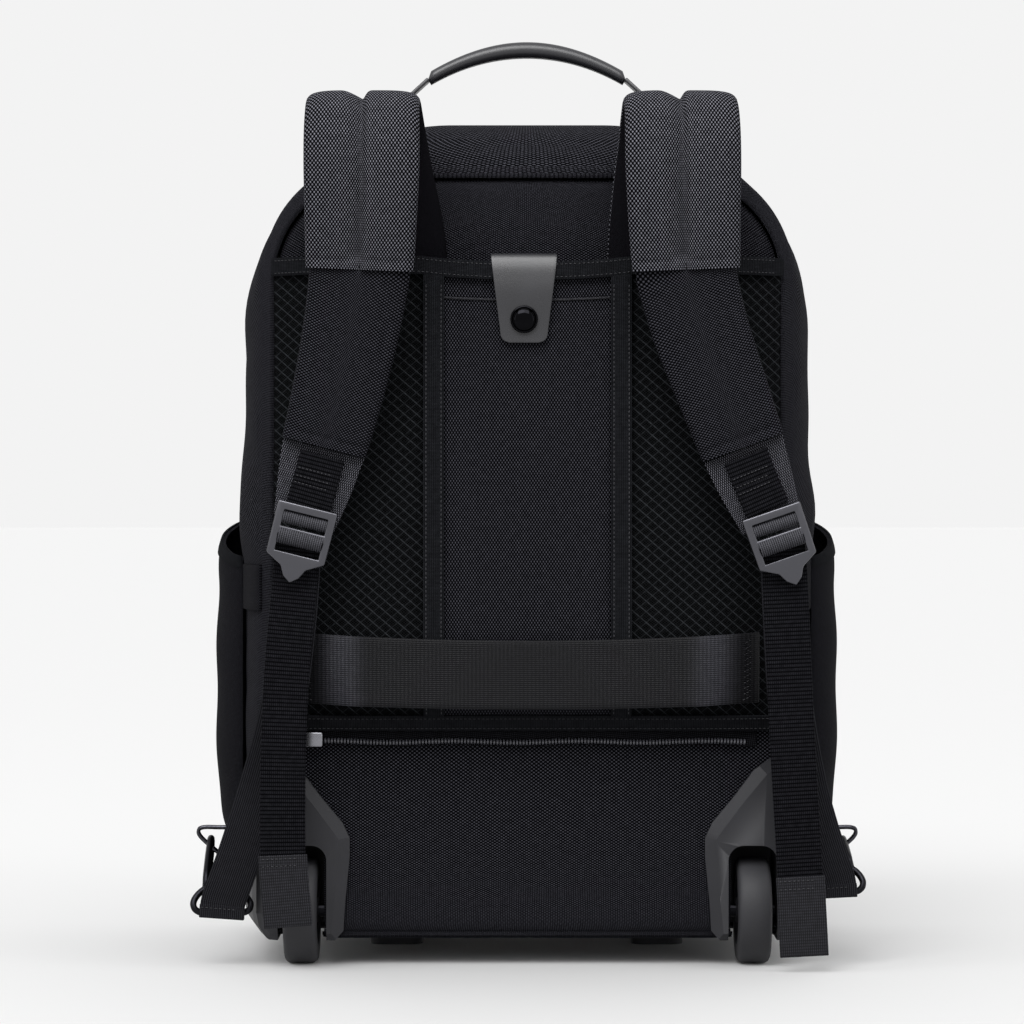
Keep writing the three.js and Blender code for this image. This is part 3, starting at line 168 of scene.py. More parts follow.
def read(table, column, wanted):
    """A table's column between its rows, along a smooth curve."""
    stops = [row[0] for row in table]
    values = [row[column] for row in table]
    if wanted <= stops[0]:
        return values[0]
    if wanted >= stops[-1]:
        return values[-1]
    last = len(stops) - 1
    i = max(k for k in range(last) if stops[k] <= wanted)

    def slope(k):
        low, high = max(k - 1, 0), min(k + 1, last)
        return (values[high] - values[low]) / (stops[high] - stops[low])

    span = stops[i + 1] - stops[i]
    t = (wanted - stops[i]) / span
    return ((2 * t ** 3 - 3 * t ** 2 + 1) * values[i] + (3 * t ** 2 - 2 * t ** 3) * values[i + 1]
            + (t ** 3 - 2 * t ** 2 + t) * span * slope(i) + (t ** 3 - t ** 2) * span * slope(i + 1))


def body_section(depth):
    share = min(max(depth / DEPTH, 0), 1)
    return (read(BODY_SECTIONS, 1, share) * HALF_WIDTH,
            BOTTOM + read(BODY_SECTIONS, 2, share) * (TOP - BOTTOM),
            read(BODY_SECTIONS, 3, share) * TOP_CORNER)


# Lengths of half the outline: bottom, bottom corner, side, top corner, top
SIDE_LENGTHS = [HALF_WIDTH - BOTTOM_CORNER, math.pi / 2 * BOTTOM_CORNER,
                TOP - BOTTOM - TOP_CORNER - BOTTOM_CORNER, math.pi / 2 * TOP_CORNER,
                HALF_WIDTH - TOP_CORNER]
OUTLINE_LENGTH = 2 * sum(SIDE_LENGTHS)


def outline_xz(around, depth, off=0.0):
    """The body's outline at a depth: 0 and 1 are the middle of the bottom, 0.5 is the top,
    and it goes up the left side."""
    half, top, corner = body_section(depth)
    half, top, low = half + off, top + off, BOTTOM - off
    upper, lower = max(corner + off, 1), max(BOTTOM_CORNER + off, 1)
    run = (1 - abs(2 * around - 1)) * OUTLINE_LENGTH / 2
    k = 0
    while k < 4 and run > SIDE_LENGTHS[k]:
        run -= SIDE_LENGTHS[k]
        k += 1
    t = min(run / SIDE_LENGTHS[k], 1)
    if k == 0:
        x, z = t * (half - lower), low
    elif k == 1:
        x = half - lower + lower * math.sin(t * math.pi / 2)
        z = low + lower - lower * math.cos(t * math.pi / 2)
    elif k == 2:
        x, z = half, low + lower + t * (top - upper - low - lower)
    elif k == 3:
        x = half - upper + upper * math.cos(t * math.pi / 2)
        z = top - upper + upper * math.sin(t * math.pi / 2)
    else:
        x, z = (half - upper) * (1 - t), top
    return (-x if around < 0.5 else x), z


def lay_grid(name, columns, rows, spot, width, length, weld=False):
    """Cloth as a grid whose points lie where spot says, its UV map in metres of real cloth."""
    bpy.ops.object.select_all(action="DESELECT")
    bpy.ops.mesh.primitive_grid_add(x_subdivisions=columns, y_subdivisions=rows, size=1)
    made = bpy.context.object
    made.name = made.data.name = name
    for point in made.data.vertices:
        point.co = spot(point.co.x + 0.5, point.co.y + 0.5)
    for corner in made.data.uv_layers[0].data:
        corner.uv = (corner.uv.x * width / 1000, corner.uv.y * length / 1000)
    if weld:
        bpy.ops.object.mode_set(mode="EDIT")
        bpy.ops.mesh.select_all(action="SELECT")
        bpy.ops.mesh.remove_doubles(threshold=0.00002)
        bpy.ops.mesh.normals_make_consistent(inside=False)
        bpy.ops.object.mode_set(mode="OBJECT")
    return made


def shape(made, *steps):
    """Adds each modifier with its settings and applies it."""
    bpy.ops.object.select_all(action="DESELECT")
    made.select_set(True)
    bpy.context.view_layer.objects.active = made
    for kind, settings in steps:
        step = made.modifiers.new(kind.title(), kind)
        for name, value in settings.items():
            setattr(step, name, value)
        bpy.ops.object.modifier_apply(modifier=step.name)
    return made


def settle(made, material, slot, *covers, body="root", smooth=50):
    """Gives a piece its material and its body, and the CAD nodes that it stands for."""
    bpy.ops.object.select_all(action="DESELECT")
    made.select_set(True)
    bpy.context.view_layer.objects.active = made
    bpy.ops.object.shade_smooth_by_angle(angle=math.radians(smooth))
    if material is not None:
        made.data.materials.clear()
        made.data.materials.append(material)
    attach(made, body)
    if covers:
        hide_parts(*covers)
    return made


def woven(name, dark, light, pitch, bump, rough, turn=0, stretch=1.0, patchy=0.35, shine=0.015):
    """Cloth of crossing threads: each crossing is a small knuckle, light where the warp is on top
    and dark where it dives. pitch is half the spacing of the knuckles, in millimetres."""
    made, tree, gloss = new_material(name, Roughness=rough, Specular_IOR_Level=shine)
    cloth = add(tree, "TexCoord").outputs["UV"]
    drift = add(tree, "TexNoise", {"Vector": cloth, "Scale": 9.0, "Detail": 2.0})
    pulled = add(tree, "VectorMath", {0: drift.outputs["Color"], "Scale": 0.004},
                 operation="SCALE")
    uneven = add(tree, "VectorMath", {0: cloth, 1: pulled.outputs[0]})
    threads = add(tree, "Mapping", {
        "Vector": uneven.outputs[0], "Rotation": (0, 0, math.radians(turn)),
        "Scale": (1000 / pitch, 1000 / (pitch * stretch), 1)})
    split = add(tree, "SeparateXYZ", {0: threads.outputs[0]})
    waves = []
    for axis in (0, 1):
        angle = add(tree, "Math", {0: split.outputs[axis], 1: math.pi}, operation="MULTIPLY")
        waves.append(add(tree, "Math", {0: angle.outputs[0]}, operation="SINE").outputs[0])
    knuckle = add(tree, "Math", {0: waves[0], 1: waves[1]}, operation="MULTIPLY")
    wear = add(tree, "TexNoise", {"Vector": cloth, "Scale": 260.0, "Detail": 6.0})
    lit = add(tree, "MapRange", {"Value": knuckle.outputs[0], "From Min": 0.0, "From Max": 0.75})
    wear_and_highlight = add(tree, "MapRange", {
        "Value": wear.outputs[0], "From Min": 0.3, "From Max": 0.7,
        "To Min": 1 - patchy, "To Max": 1.0})
    share = add(tree, "Math", {0: lit.outputs[0], 1: wear_and_highlight.outputs[0]}, operation="MULTIPLY")
    colour = add(tree, "Mix", {0: share.outputs[0], 6: paint(dark), 7: paint(light)},
                 data_type="RGBA")
    tree.links.new(colour.outputs[2], gloss.inputs["Base Color"])
    height = add(tree, "Math", {0: knuckle.outputs[0]}, operation="ABSOLUTE")
    relief = add(tree, "Bump", {"Height": height.outputs[0], "Strength": bump,
                                "Distance": pitch / 4000})
    tree.links.new(relief.outputs[0], gloss.inputs["Normal"])
    return made


# Ballistic nylon, basket-woven from thick dull black yarn: tiny bright knuckles on black. This paler
# copy is painted light on the upper shoulder pads, which face the top light; the strap backings share
# it
ballistic_nylon = woven("ballistic_nylon", "#010102", "#66666D", WEAVE_PITCH, 0.6, 0.8,
                        stretch=WEAVE_STRETCH)
# The same weave in a darker copy for the body, the harness panels and the lower pads: painted shade,
# where these take less light than the upper pads
shaded_ballistic_nylon = woven("ballistic_nylon_painted_shade", "#010102", "#3D3D43", WEAVE_PITCH, 0.6, 0.8,
                    stretch=WEAVE_STRETCH)


def crosswise(made):
    """Cloth cut across the roll: the weave lies the other way."""
    for corner in made.data.uv_layers[0].data:
        corner.uv = (corner.uv.y, corner.uv.x)
    return made


def cut_away(made, inside):
    """Takes out the faces whose middle lies inside."""
    bpy.ops.object.select_all(action="DESELECT")
    made.select_set(True)
    bpy.context.view_layer.objects.active = made
    bpy.ops.object.mode_set(mode="EDIT")
    bpy.ops.mesh.select_mode(type="FACE")
    bpy.ops.mesh.select_all(action="DESELECT")
    bpy.ops.object.mode_set(mode="OBJECT")
    for face in made.data.polygons:
        face.select = inside(face.center)
    bpy.ops.object.mode_set(mode="EDIT")
    bpy.ops.mesh.delete(type="FACE")
    bpy.ops.object.mode_set(mode="OBJECT")
    return made


# The wheels' wells, where the cloth is cut away: from and to, out from the middle; their top and
# how deep they go into the body
WELL_INNER, WELL_OUTER, WELL_TOP, WELL_DEPTH = 117.5, 146, 67, 47


def in_well(co):
    """Whether a place lies in one of the wheels' wells."""
    place = (co - at(0, 0, 0)) * 1000
    return (WELL_INNER < abs(place.x) < WELL_OUTER and place.z < WELL_TOP
            and place.y < WELL_DEPTH)


GUSSET_PROFILE = [
    # depth and how far it stands off the outline: out of the seam, over the welt, along the side
    (3.4, -4.2), (1.2, -3.9), (-0.6, -3.1), (-1.3, -1.9), (-1.0, -0.7), (0.2, 0.1),
]


def gusset_spot(rows, stops):
    def spot(u, v):
        depth, off = stops[round(v * rows)]
        # Underneath, the cloth is folded in without a welt
        under = min(max((abs(2 * u - 1) - 0.8) / 0.03, 0), 1)
        if off < 0:
            off += under * (max(off, -0.5) - off)
            if depth < 3.5:
                depth += under * (max(depth, 0.3) - depth)
        x, z = outline_xz(u, max(depth, 0), off)
        return at(x, depth, z)
    return spot


def side_wave(u, depth):
    """A slow unevenness of soft cloth, in millimetres."""
    return 0.7 * math.sin(u * 61 + 0.7) * math.sin(depth / 23 + u * 9) + 0.4 * math.sin(u * 143)


# How far the soft side stands out, at what height and over what spread
BULGE_OUT, BULGE_HEIGHT, BULGE_SPREAD = 5, 262, 30


def side_bulge(z):
    """The soft side stands out over the side pocket's mouth, pushed by what is packed inside."""
    return BULGE_OUT * math.exp(-((z - BULGE_HEIGHT) / BULGE_SPREAD) ** 2)


rear_stops = GUSSET_PROFILE + [(depth, 0.0) for depth in
                               (2, 5, 10, 17, 26, 36, 47, 59, 72, 86, 100, 114, 128, 140, 149, 154)]
rear_rows = len(rear_stops) - 1
rear_gusset = lay_grid("rear_gusset", 260, rear_rows, gusset_spot(rear_rows, rear_stops),
                       OUTLINE_LENGTH, 160)
for point in rear_gusset.data.vertices:
    depth = (point.co.y - REAR_WALL_Y) * 1000
    if 8 < depth < 150 and point.co.z > 0.05:
        around = math.atan2(point.co.x - MIDDLE_X, point.co.z - 0.25) / math.tau
        out = side_wave(around, depth)
        if abs(point.co.x - MIDDLE_X) > 0.15:
            out += side_bulge(point.co.z * 1000 + FLOOR) * min((depth - 8) / 30, (150 - depth) / 20, 1)
        point.co.x += math.copysign(out / 1000, point.co.x - MIDDLE_X)
shape(cut_away(crosswise(rear_gusset), in_well),
      ("WELD", {"merge_threshold": 0.00002}),
      ("SOLIDIFY", {"thickness": 0.0022, "offset": -1}))
settle(rear_gusset, shaded_ballistic_nylon, "ballistic_fabric")

front_stops = [(166, 0.0), (171, 0.3), (178, 0.3), (184, 0.2), (189.5, 0.1), (194, 0), (198, 0),
               (201.5, 0), (204, -0.2), (205, -1.5), (205, -3.4), (203.6, -4.4), (202.2, -4.8)]
front_rows = len(front_stops) - 1
front_gusset = lay_grid("front_gusset", 260, front_rows, gusset_spot(front_rows, front_stops),
                        OUTLINE_LENGTH, 48)
shape(crosswise(front_gusset),
      ("WELD", {"merge_threshold": 0.00002}),
      ("SOLIDIFY", {"thickness": 0.0022, "offset": -1}))
settle(front_gusset, shaded_ballistic_nylon, "ballistic_fabric")


def end_panel(name, depth, inset, bulge, faces):
    """A panel that fills the body's outline at a depth, slightly domed, its edge in the seam.
    faces is -1 for the rear panel and 1 for the front one."""
    half, top, corner = body_section(max(depth, 0))
    half, low, high = half - inset, BOTTOM + 0.9, top - inset
    upper, lower = corner - inset, BOTTOM_CORNER - inset

    def half_at(z):
        if z < low + lower:
            return half - lower + math.sqrt(max(lower ** 2 - (low + lower - z) ** 2, 0))
        if z > high - upper:
            return half - upper + math.sqrt(max(upper ** 2 - (z - high + upper) ** 2, 0))
        return half

    def spot(u, v):
        rise = 0.5 - 0.5 * math.cos(math.pi * v)
        z = low + (0.3 * v + 0.7 * rise) * (high - low)
        across = faces * -1 * (2 * u - 1)
        x = across * half_at(z)
        rim = min(half_at(z) * (1 - abs(across)), z - low, high - z, 9) / 9
        swell = bulge * (1 - across ** 2) * (1 - (2 * v - 1) ** 2)
        y = depth + faces * (swell - 3.2 * (1 - math.sqrt(max(rim * (2 - rim), 0))))
        return at(x, y, z)

    made = crosswise(lay_grid(name, 84, 110, spot, 2 * half, high - low))
    return shape(cut_away(made, in_well), ("SOLIDIFY", {"thickness": 0.002, "offset": -1}))


back_panel = end_panel("back_panel", 0.2, 4.4, 0, -1)
settle(back_panel, shaded_ballistic_nylon, "ballistic_fabric", "rear_shell")
front_panel = end_panel("front_panel", 203.5, 4.6, 1.2, 1)
settle(front_panel, shaded_ballistic_nylon, "ballistic_fabric", "front_shell")


# Main zip: a spiral coil on woven tape, which opens the front compartment round the top. Its
# slider hangs at the right with a long leather puller.
COIL_PITCH = 1.9  # a number 8 coil is 1.5 mm; drawn coarser, so that the turns show
COIL_WIRE = 0.6


def run_along(name, unit, points, pitch, closed=False):
    """Repeats a small unit, made along X, at one pitch along a line of points."""
    curve = bpy.data.curves.new(name + "_line", "CURVE")
    curve.dimensions, curve.twist_mode = "3D", "Z_UP"
    line = curve.splines.new("POLY")
    line.points.add(len(points) - 1)
    for spot, place in zip(line.points, points):
        spot.co = (*place, 1)
    line.use_cyclic_u = closed
    guide = bpy.data.objects.new(name + "_line", curve)
    bpy.context.collection.objects.link(guide)
    length = sum((b - a).length for a, b in zip(points, points[1:]))
    made = unit.copy()
    made.data = unit.data.copy()
    made.name = made.data.name = name
    bpy.context.collection.objects.link(made)
    shape(made,
          ("ARRAY", {"count": max(int(length * 1000 / pitch), 1), "use_relative_offset": False,
                     "use_constant_offset": True, "constant_offset_displace": (pitch / 1000, 0, 0)}),
          ("CURVE", {"object": guide}))
    bpy.data.objects.remove(guide)
    return made


def unit_from(made):
    """A finished unit: its mesh is kept for copies, and it is taken out of the scene."""
    bpy.context.view_layer.update()
    bpy.ops.object.select_all(action="DESELECT")
    made.select_set(True)
    bpy.context.view_layer.objects.active = made
    bpy.ops.object.transform_apply(location=True, rotation=True, scale=True)
    bpy.context.collection.objects.unlink(made)
    return made


# One turn of the coil: a flattened wire bow across the tape
bpy.ops.object.select_all(action="DESELECT")
bpy.ops.mesh.primitive_torus_add(
    major_segments=10, minor_segments=5, major_radius=0.0023, minor_radius=COIL_WIRE / 1000,
    rotation=(0, math.radians(90), 0))
coil_turn = bpy.context.object
coil_turn.scale = (0.62, 1.0, 1.0)
coil_turn = unit_from(coil_turn)

# Nylon monofilament, extruded and heat-set into a coil: smooth, so each turn has a glint
zip_coil, tree, gloss = new_material("nylon_zip_coil", Roughness=0.28, Coat_Weight=0.2)
shine = add(tree, "TexNoise", {"Scale": 900.0})
tint = add(tree, "Mix", {0: shine.outputs[0], 6: paint("#2A2A2E"), 7: paint("#4C4C52")},
           data_type="RGBA")
tree.links.new(tint.outputs[2], gloss.inputs["Base Color"])

# Zip tape: fine polyester twill, flat black
zip_tape = woven("zip_tape_twill", "#040405", "#26262A", 0.8, 0.5, 0.75, turn=38)


def zip_tape_spot(u, v):
    depth = ZIP_DEPTH + (v - 0.5) * (ZIP_WIDTH + 5)
    x, z = outline_xz(u, depth, -0.7 if abs(v - 0.5) > 0.34 else 0.0)
    return at(x, depth, z)


main_zip_tape = lay_grid("main_zip_tape", 220, 6, zip_tape_spot, OUTLINE_LENGTH, 14)
shape(main_zip_tape, ("SOLIDIFY", {"thickness": 0.0014, "offset": -1}))
settle(main_zip_tape, zip_tape, "zip_coil", "main_zip")

coil_line = [at(x, ZIP_DEPTH, z) for x, z in
             (outline_xz(0.06 + 0.88 * i / 220, ZIP_DEPTH, 0.2) for i in range(221))]
main_zip_coil = run_along("main_zip_coil", coil_turn, coil_line, COIL_PITCH)
settle(main_zip_coil, zip_coil, "zip_coil")


def refined(node, name, merge=0.00005, dissolve=4):
    """A copy of a CAD node's mesh, merged, with its flat faces made whole again."""
    made = bpy.data.objects.new(name, nodes[node].data.copy())
    made.data.name = name
    bpy.context.collection.objects.link(made)
    bpy.ops.object.select_all(action="DESELECT")
    made.select_set(True)
    bpy.context.view_layer.objects.active = made
    bpy.ops.object.mode_set(mode="EDIT")
    bpy.ops.mesh.select_all(action="SELECT")
    bpy.ops.mesh.remove_doubles(threshold=merge)
    if dissolve:
        bpy.ops.mesh.dissolve_limited(angle_limit=math.radians(dissolve))
    bpy.ops.object.mode_set(mode="OBJECT")
    return made


def leather_finish(name, dark, light, rough, grain_size):
    """Leather: pores and fine creases of a given size in millimetres under a satin top coat."""
    made, tree, gloss = new_material(
        name, Roughness=rough, Coat_Weight=0.18, Coat_Roughness=0.35, Specular_IOR_Level=0.45)
    place = add(tree, "TexCoord").outputs["Object"]
    cells = add(tree, "TexVoronoi", {"Vector": place, "Scale": 1000 / grain_size},
                feature="DISTANCE_TO_EDGE")
    tone = add(tree, "TexNoise", {"Vector": place, "Scale": 60.0, "Detail": 6.0})
    colour = add(tree, "Mix", {0: tone.outputs[0], 6: paint(dark), 7: paint(light)},
                 data_type="RGBA")
    tree.links.new(colour.outputs[2], gloss.inputs["Base Color"])
    relief = add(tree, "Bump", {"Height": cells.outputs[0], "Strength": 0.25, "Distance": 0.0002})
    tree.links.new(relief.outputs[0], gloss.inputs["Normal"])
    return made


# Black cowhide, drum-dyed and pressed smooth: a soft satin shine over a barely visible grain
black_leather = leather_finish("pressed_black_leather", "#151518", "#1F1F23", 0.42, 0.9)
# Gunmetal: zinc die casting, plated dark and tumbled, so it shines softly and evenly
gunmetal, tree, gloss = new_material("gunmetal_zinc", Metallic=1.0, Roughness=0.34)
casting = add(tree, "TexNoise", {"Scale": 350.0, "Detail": 3.0})
tone = add(tree, "Mix", {0: casting.outputs[0], 6: paint("#46464A"), 7: paint("#5C5C61")},
           data_type="RGBA")
tree.links.new(tone.outputs[2], gloss.inputs["Base Color"])
dents = add(tree, "Bump", {"Height": casting.outputs[0], "Strength": 0.08, "Distance": 0.0001})
tree.links.new(dents.outputs[0], gloss.inputs["Normal"])

main_slider = refined("main_zip_slider", "main_zip_slider_body")
shape(main_slider, ("BEVEL", {"width": 0.0012, "segments": 3}))
settle(main_slider, gunmetal, "gunmetal", "main_zip_slider")
main_puller = refined("main_zip_puller", "main_zip_leather_puller")
shape(main_puller, ("BEVEL", {"width": 0.0008, "segments": 3}))
settle(main_puller, black_leather, "leather", "main_zip_puller")


# Harness: two foam pads under diamond air mesh and a flat centre panel, sewn as one cover over
# the pocket of the pull handle. Grosgrain tape binds the edges and the channels.
COVER_HALF_WIDTH, COVER_TOP, COVER_BOTTOM = 150, 405, 134
POCKET_DEPTH, PAD_THICKNESS, PANEL_THICKNESS = 15, 9, 4
PANEL_HALF_WIDTH, CHANNEL_TAPE = 49, 11.5
COVER_SECTIONS = [
    # share of half width, lift off the wall, padding
    (0.33, 1, 0.72), (0.4, 1, 0.88), (0.53, 1, 1), (0.7, 0.98, 1), (0.83, 0.74, 0.92),
    (0.93, 0.32, 0.66), (1, 0, 0.28),
]
COVER_HEIGHTS = [
    # share of height, lift, padding
    (0, 0.12, 0.35), (0.03, 0.36, 0.62), (0.08, 0.7, 0.85), (0.16, 0.94, 1), (0.3, 1, 1),
    (0.65, 1, 1), (1, 1, 0.9),
]
DIAMOND_WIDTH, DIAMOND_HEIGHT = 7.2, 6.2  # one diamond of the air mesh


def cover_back(x, z):
    up = (z - COVER_BOTTOM) / (COVER_TOP - COVER_BOTTOM)
    lift = read(COVER_SECTIONS, 1, abs(x) / COVER_HALF_WIDTH) * read(COVER_HEIGHTS, 1, up)
    return -0.3 - lift * POCKET_DEPTH


def cover_front(x, z):
    up = (z - COVER_BOTTOM) / (COVER_TOP - COVER_BOTTOM)
    pad = read(COVER_SECTIONS, 2, abs(x) / COVER_HALF_WIDTH) * read(COVER_HEIGHTS, 2, up)
    return cover_back(x, z) - pad * PAD_THICKNESS


def top_sag(x):
    """The collar of the pocket hangs a little between the shoulder straps."""
    return -3.4 * max(1 - (x / 62) ** 2, 0)


def plump(made, held, most, pressure=4.0):
    """Cloth swells with the padding between its seams: held says which points a seam holds, and
    no point moves further than most millimetres."""
    rest = [point.co.copy() for point in made.data.vertices]
    seam = made.vertex_groups.new(name="seam")
    seam.add([i for i, co in enumerate(rest) if held(co)], 1.0, "REPLACE")
    bpy.ops.object.select_all(action="DESELECT")
    made.select_set(True)
    bpy.context.view_layer.objects.active = made
    cloth = made.modifiers.new("Cloth", "CLOTH")
    cloth.settings.vertex_group_mass = "seam"
    cloth.settings.use_pressure = True
    cloth.settings.uniform_pressure_force = pressure
    cloth.settings.effector_weights.gravity = 0
    cloth.point_cache.frame_start, cloth.point_cache.frame_end = 1, 20
    for step in range(1, 21):
        bpy.context.scene.frame_set(step)
    bpy.ops.object.modifier_apply(modifier=cloth.name)
    bpy.context.scene.frame_set(1)
    for point, start in zip(made.data.vertices, rest):
        move = point.co - start
        if move.length > most / 1000:
            point.co = start + move.normalized() * (most / 1000)
    made.vertex_groups.clear()
    return made


# Spacer mesh: a knitted face of open diamonds over a second knit, dull black; the ribs between
# the diamonds are raised and catch the light
spacer_mesh, tree, gloss = new_material(
    "knitted_spacer_mesh", Roughness=0.9, Specular_IOR_Level=0.01)
place = add(tree, "TexCoord").outputs["Object"]
split = add(tree, "SeparateXYZ", {0: place})
ribs, holes = [], []
for sign in (1, -1):
    slant = add(tree, "Math", {0: split.outputs[0], 1: 1000 / DIAMOND_WIDTH}, operation="MULTIPLY")
    rise = add(tree, "Math", {0: split.outputs[2], 1: sign * 1000 / DIAMOND_HEIGHT},
               operation="MULTIPLY")
    both = add(tree, "Math", {0: slant.outputs[0], 1: rise.outputs[0]}, operation="ADD")
    for repeats, found in ((1, ribs), (4, holes)):
        fine = add(tree, "Math", {0: both.outputs[0], 1: repeats}, operation="MULTIPLY")
        saw = add(tree, "Math", {0: fine.outputs[0], 1: 0.5}, operation="PINGPONG")
        found.append(saw.outputs[0])
# The ribs that run down to the right lie on top of the others
masks = [add(tree, "MapRange", {"Value": rib, "From Min": 0.045, "From Max": 0.115,
                                "To Min": strength, "To Max": 0.0}).outputs[0]
         for rib, strength in zip(ribs, (1.0, 0.55))]
rib_mask = add(tree, "Math", {0: masks[0], 1: masks[1]}, operation="MAXIMUM")
hole = add(tree, "Math", {0: holes[0], 1: holes[1]}, operation="MINIMUM")
knit = add(tree, "MapRange", {"Value": hole.outputs[0], "From Min": 0.06, "From Max": 0.24,
                              "To Min": 0.3, "To Max": 0.0})
raised = add(tree, "Math", {0: rib_mask.outputs[0], 1: knit.outputs[0]}, operation="MAXIMUM")
fibre = add(tree, "TexNoise", {"Vector": place, "Scale": 700.0, "Detail": 3.0})
mixed = add(tree, "Math", {0: raised.outputs[0], 1: fibre.outputs[0]}, operation="MULTIPLY")
tone = add(tree, "Mix", {0: mixed.outputs[0], 6: paint("#010101"), 7: paint("#2F3134")},
           data_type="RGBA")
tree.links.new(tone.outputs[2], gloss.inputs["Base Color"])
relief = add(tree, "Bump", {"Height": raised.outputs[0], "Strength": 0.5, "Distance": 0.0005})
tree.links.new(relief.outputs[0], gloss.inputs["Normal"])

SIDES = {"left": -1, "right": 1}
EDGE_ROLL = 9  # how far from its seam a pad reaches its full thickness

for side, sign in SIDES.items():
    inner, outer = PANEL_HALF_WIDTH + 0.4, COVER_HALF_WIDTH
    low, high = COVER_BOTTOM + 0.5, COVER_TOP - 0.5

    def pad_spot(u, v):
        face = u < 0.5
        across = 2 * u if face else 2 - 2 * u
        x, z = inner + across * (outer - inner), low + v * (high - low)
        edge = min(x - inner + 3, outer - x, z - low + 1, high - z, EDGE_ROLL) / EDGE_ROLL
        if min(x - inner, outer - x, z - low, high - z) < 0.01:
            edge = 0
        edge = max(edge, 0)
        back, front = cover_back(x, z), cover_front(x, z)
        seam = back - 1.2
        full = math.sqrt(edge * (2 - edge))
        y = seam + ((front if face else back) - seam) * full
        return at(sign * x, y, z + top_sag(x) * max((z - 330) / 75, 0))

    pad = lay_grid(f"air_mesh_pad_{side}", 40, 54, pad_spot, 202, 270, weld=True)

    def at_seam(co):
        x, z = abs(co.x - MIDDLE_X) * 1000, co.z * 1000 + FLOOR
        back = cover_back(x, z) / 1000 + REAR_WALL_Y - 0.0021
        return min(x - inner, outer - x, z - low, high - z) < 3 or co.y > back

    plump(pad, at_seam, 2.5)
    shape(pad, ("SUBSURF", {"levels": 1, "render_levels": 1}))
    settle(pad, spacer_mesh, "mesh_fabric", f"harness_pad_{side}", smooth=180)

# Centre panel: a pocket of ballistic nylon, its folded upper edge a little below the collar
POCKET_EDGE = 387.5


def panel_face(x, z):
    up = (z - COVER_BOTTOM) / (COVER_TOP - COVER_BOTTOM)
    return cover_back(0, z) - read(COVER_HEIGHTS, 2, up) * PANEL_THICKNESS


def panel_spot(low, high, proud):
    def spot(u, v):
        x, z = (2 * u - 1) * PANEL_HALF_WIDTH, low + v * (high - low)
        hang = top_sag(x) * max((z - 330) / 75, 0)
        return at(x, panel_face(x, z) - proud - 0.5 * math.sin(u * math.pi), z + hang)
    return spot


upper_panel = lay_grid("centre_panel_lining", 24, 8, panel_spot(372, COVER_TOP, 0), 98, 33)
shape(upper_panel, ("SOLIDIFY", {"thickness": 0.002, "offset": -1}))
settle(upper_panel, shaded_ballistic_nylon, "ballistic_fabric")
centre_panel = lay_grid(
    "centre_panel_pocket", 30, 60, panel_spot(COVER_BOTTOM + 1, POCKET_EDGE, 1.1), 98, 253)
shape(centre_panel,
      ("SOLIDIFY", {"thickness": 0.0026, "offset": -1}),
      ("BEVEL", {"width": 0.0006, "segments": 2, "limit_method": "ANGLE"}))
settle(centre_panel, shaded_ballistic_nylon, "ballistic_fabric", "harness_centre_panel")

# The pocket's folded edge carries a thin cord, paler than the cloth: a painted highlight along the
# fold
bpy.ops.object.select_all(action="DESELECT")
bpy.ops.mesh.primitive_cylinder_add(vertices=10, radius=0.0007, depth=0.002,
                                    rotation=(0, math.radians(90), 0))
cord_unit = unit_from(bpy.context.object)
edge_line = [at(x, panel_face(x, POCKET_EDGE) - 1.9, POCKET_EDGE + top_sag(x) * 0.77)
             for x in range(-PANEL_HALF_WIDTH, PANEL_HALF_WIDTH + 1, 2)]
pocket_cord = run_along("pocket_edge_cord", cord_unit, edge_line, 2.0)
shape(pocket_cord, ("WELD", {"merge_threshold": 0.0002}))
# Twisted polyester cord, waxed: paler than the cloth, a thin light line that paints the fold's
# highlight
fold_highlight_cord = woven("fold_edge_painted_highlight", "#151517", "#4A4A4E", 0.7, 0.4, 0.5, turn=45)
settle(pocket_cord, fold_highlight_cord, "webbing")


# Grosgrain binding: 10 mm ribbed polyester tape, turned over the raw edges and sewn along both
# of its own edges, so the stitches show as two rows of specks.
def ribbed(name, dark, light, rib, thread, rough, bump, along=0, patchy=0.5, shine=0.02,
           gap=0.35, weave=0.3):
    """Ribbed tape or webbing: round ribs at a spacing in millimetres, which run across the piece
    (along 1) or along it (along 0), crossed by threads at another spacing. gap is the share of
    a rib that lies in shade, weave how light a thread is where it dives."""
    made, tree, gloss = new_material(name, Roughness=rough, Specular_IOR_Level=shine)
    cloth = add(tree, "TexCoord").outputs["UV"]
    split = add(tree, "SeparateXYZ", {0: cloth})
    waves = []
    for axis, size in ((along, rib), (1 - along, thread)):
        angle = add(tree, "Math", {0: split.outputs[axis], 1: math.tau * 1000 / size},
                    operation="MULTIPLY")
        waves.append(add(tree, "Math", {0: angle.outputs[0]}, operation="SINE").outputs[0])
    rounded = add(tree, "MapRange", {"Value": waves[0], "From Min": -1.0, "From Max": 2 * gap - 1})
    cross = add(tree, "MapRange", {"Value": waves[1], "From Min": -1.0, "From Max": 1.0,
                                   "To Min": weave, "To Max": 1.0})
    threads = add(tree, "Math", {0: rounded.outputs[0], 1: cross.outputs[0]},
                  operation="MULTIPLY")
    lint = add(tree, "TexNoise", {"Vector": cloth, "Scale": 260.0, "Detail": 6.0})
    fuzz = add(tree, "MapRange", {"Value": lint.outputs[0], "From Min": 0.3, "From Max": 0.75,
                                  "To Min": 1 - patchy, "To Max": 1.0})
    share = add(tree, "Math", {0: threads.outputs[0], 1: fuzz.outputs[0]}, operation="MULTIPLY")
    tone = add(tree, "Mix", {0: share.outputs[0], 6: paint(dark), 7: paint(light)},
               data_type="RGBA")
    tree.links.new(tone.outputs[2], gloss.inputs["Base Color"])
    relief = add(tree, "Bump", {"Height": threads.outputs[0], "Strength": bump,
                                "Distance": rib / 3000})
    tree.links.new(relief.outputs[0], gloss.inputs["Normal"])
    return made


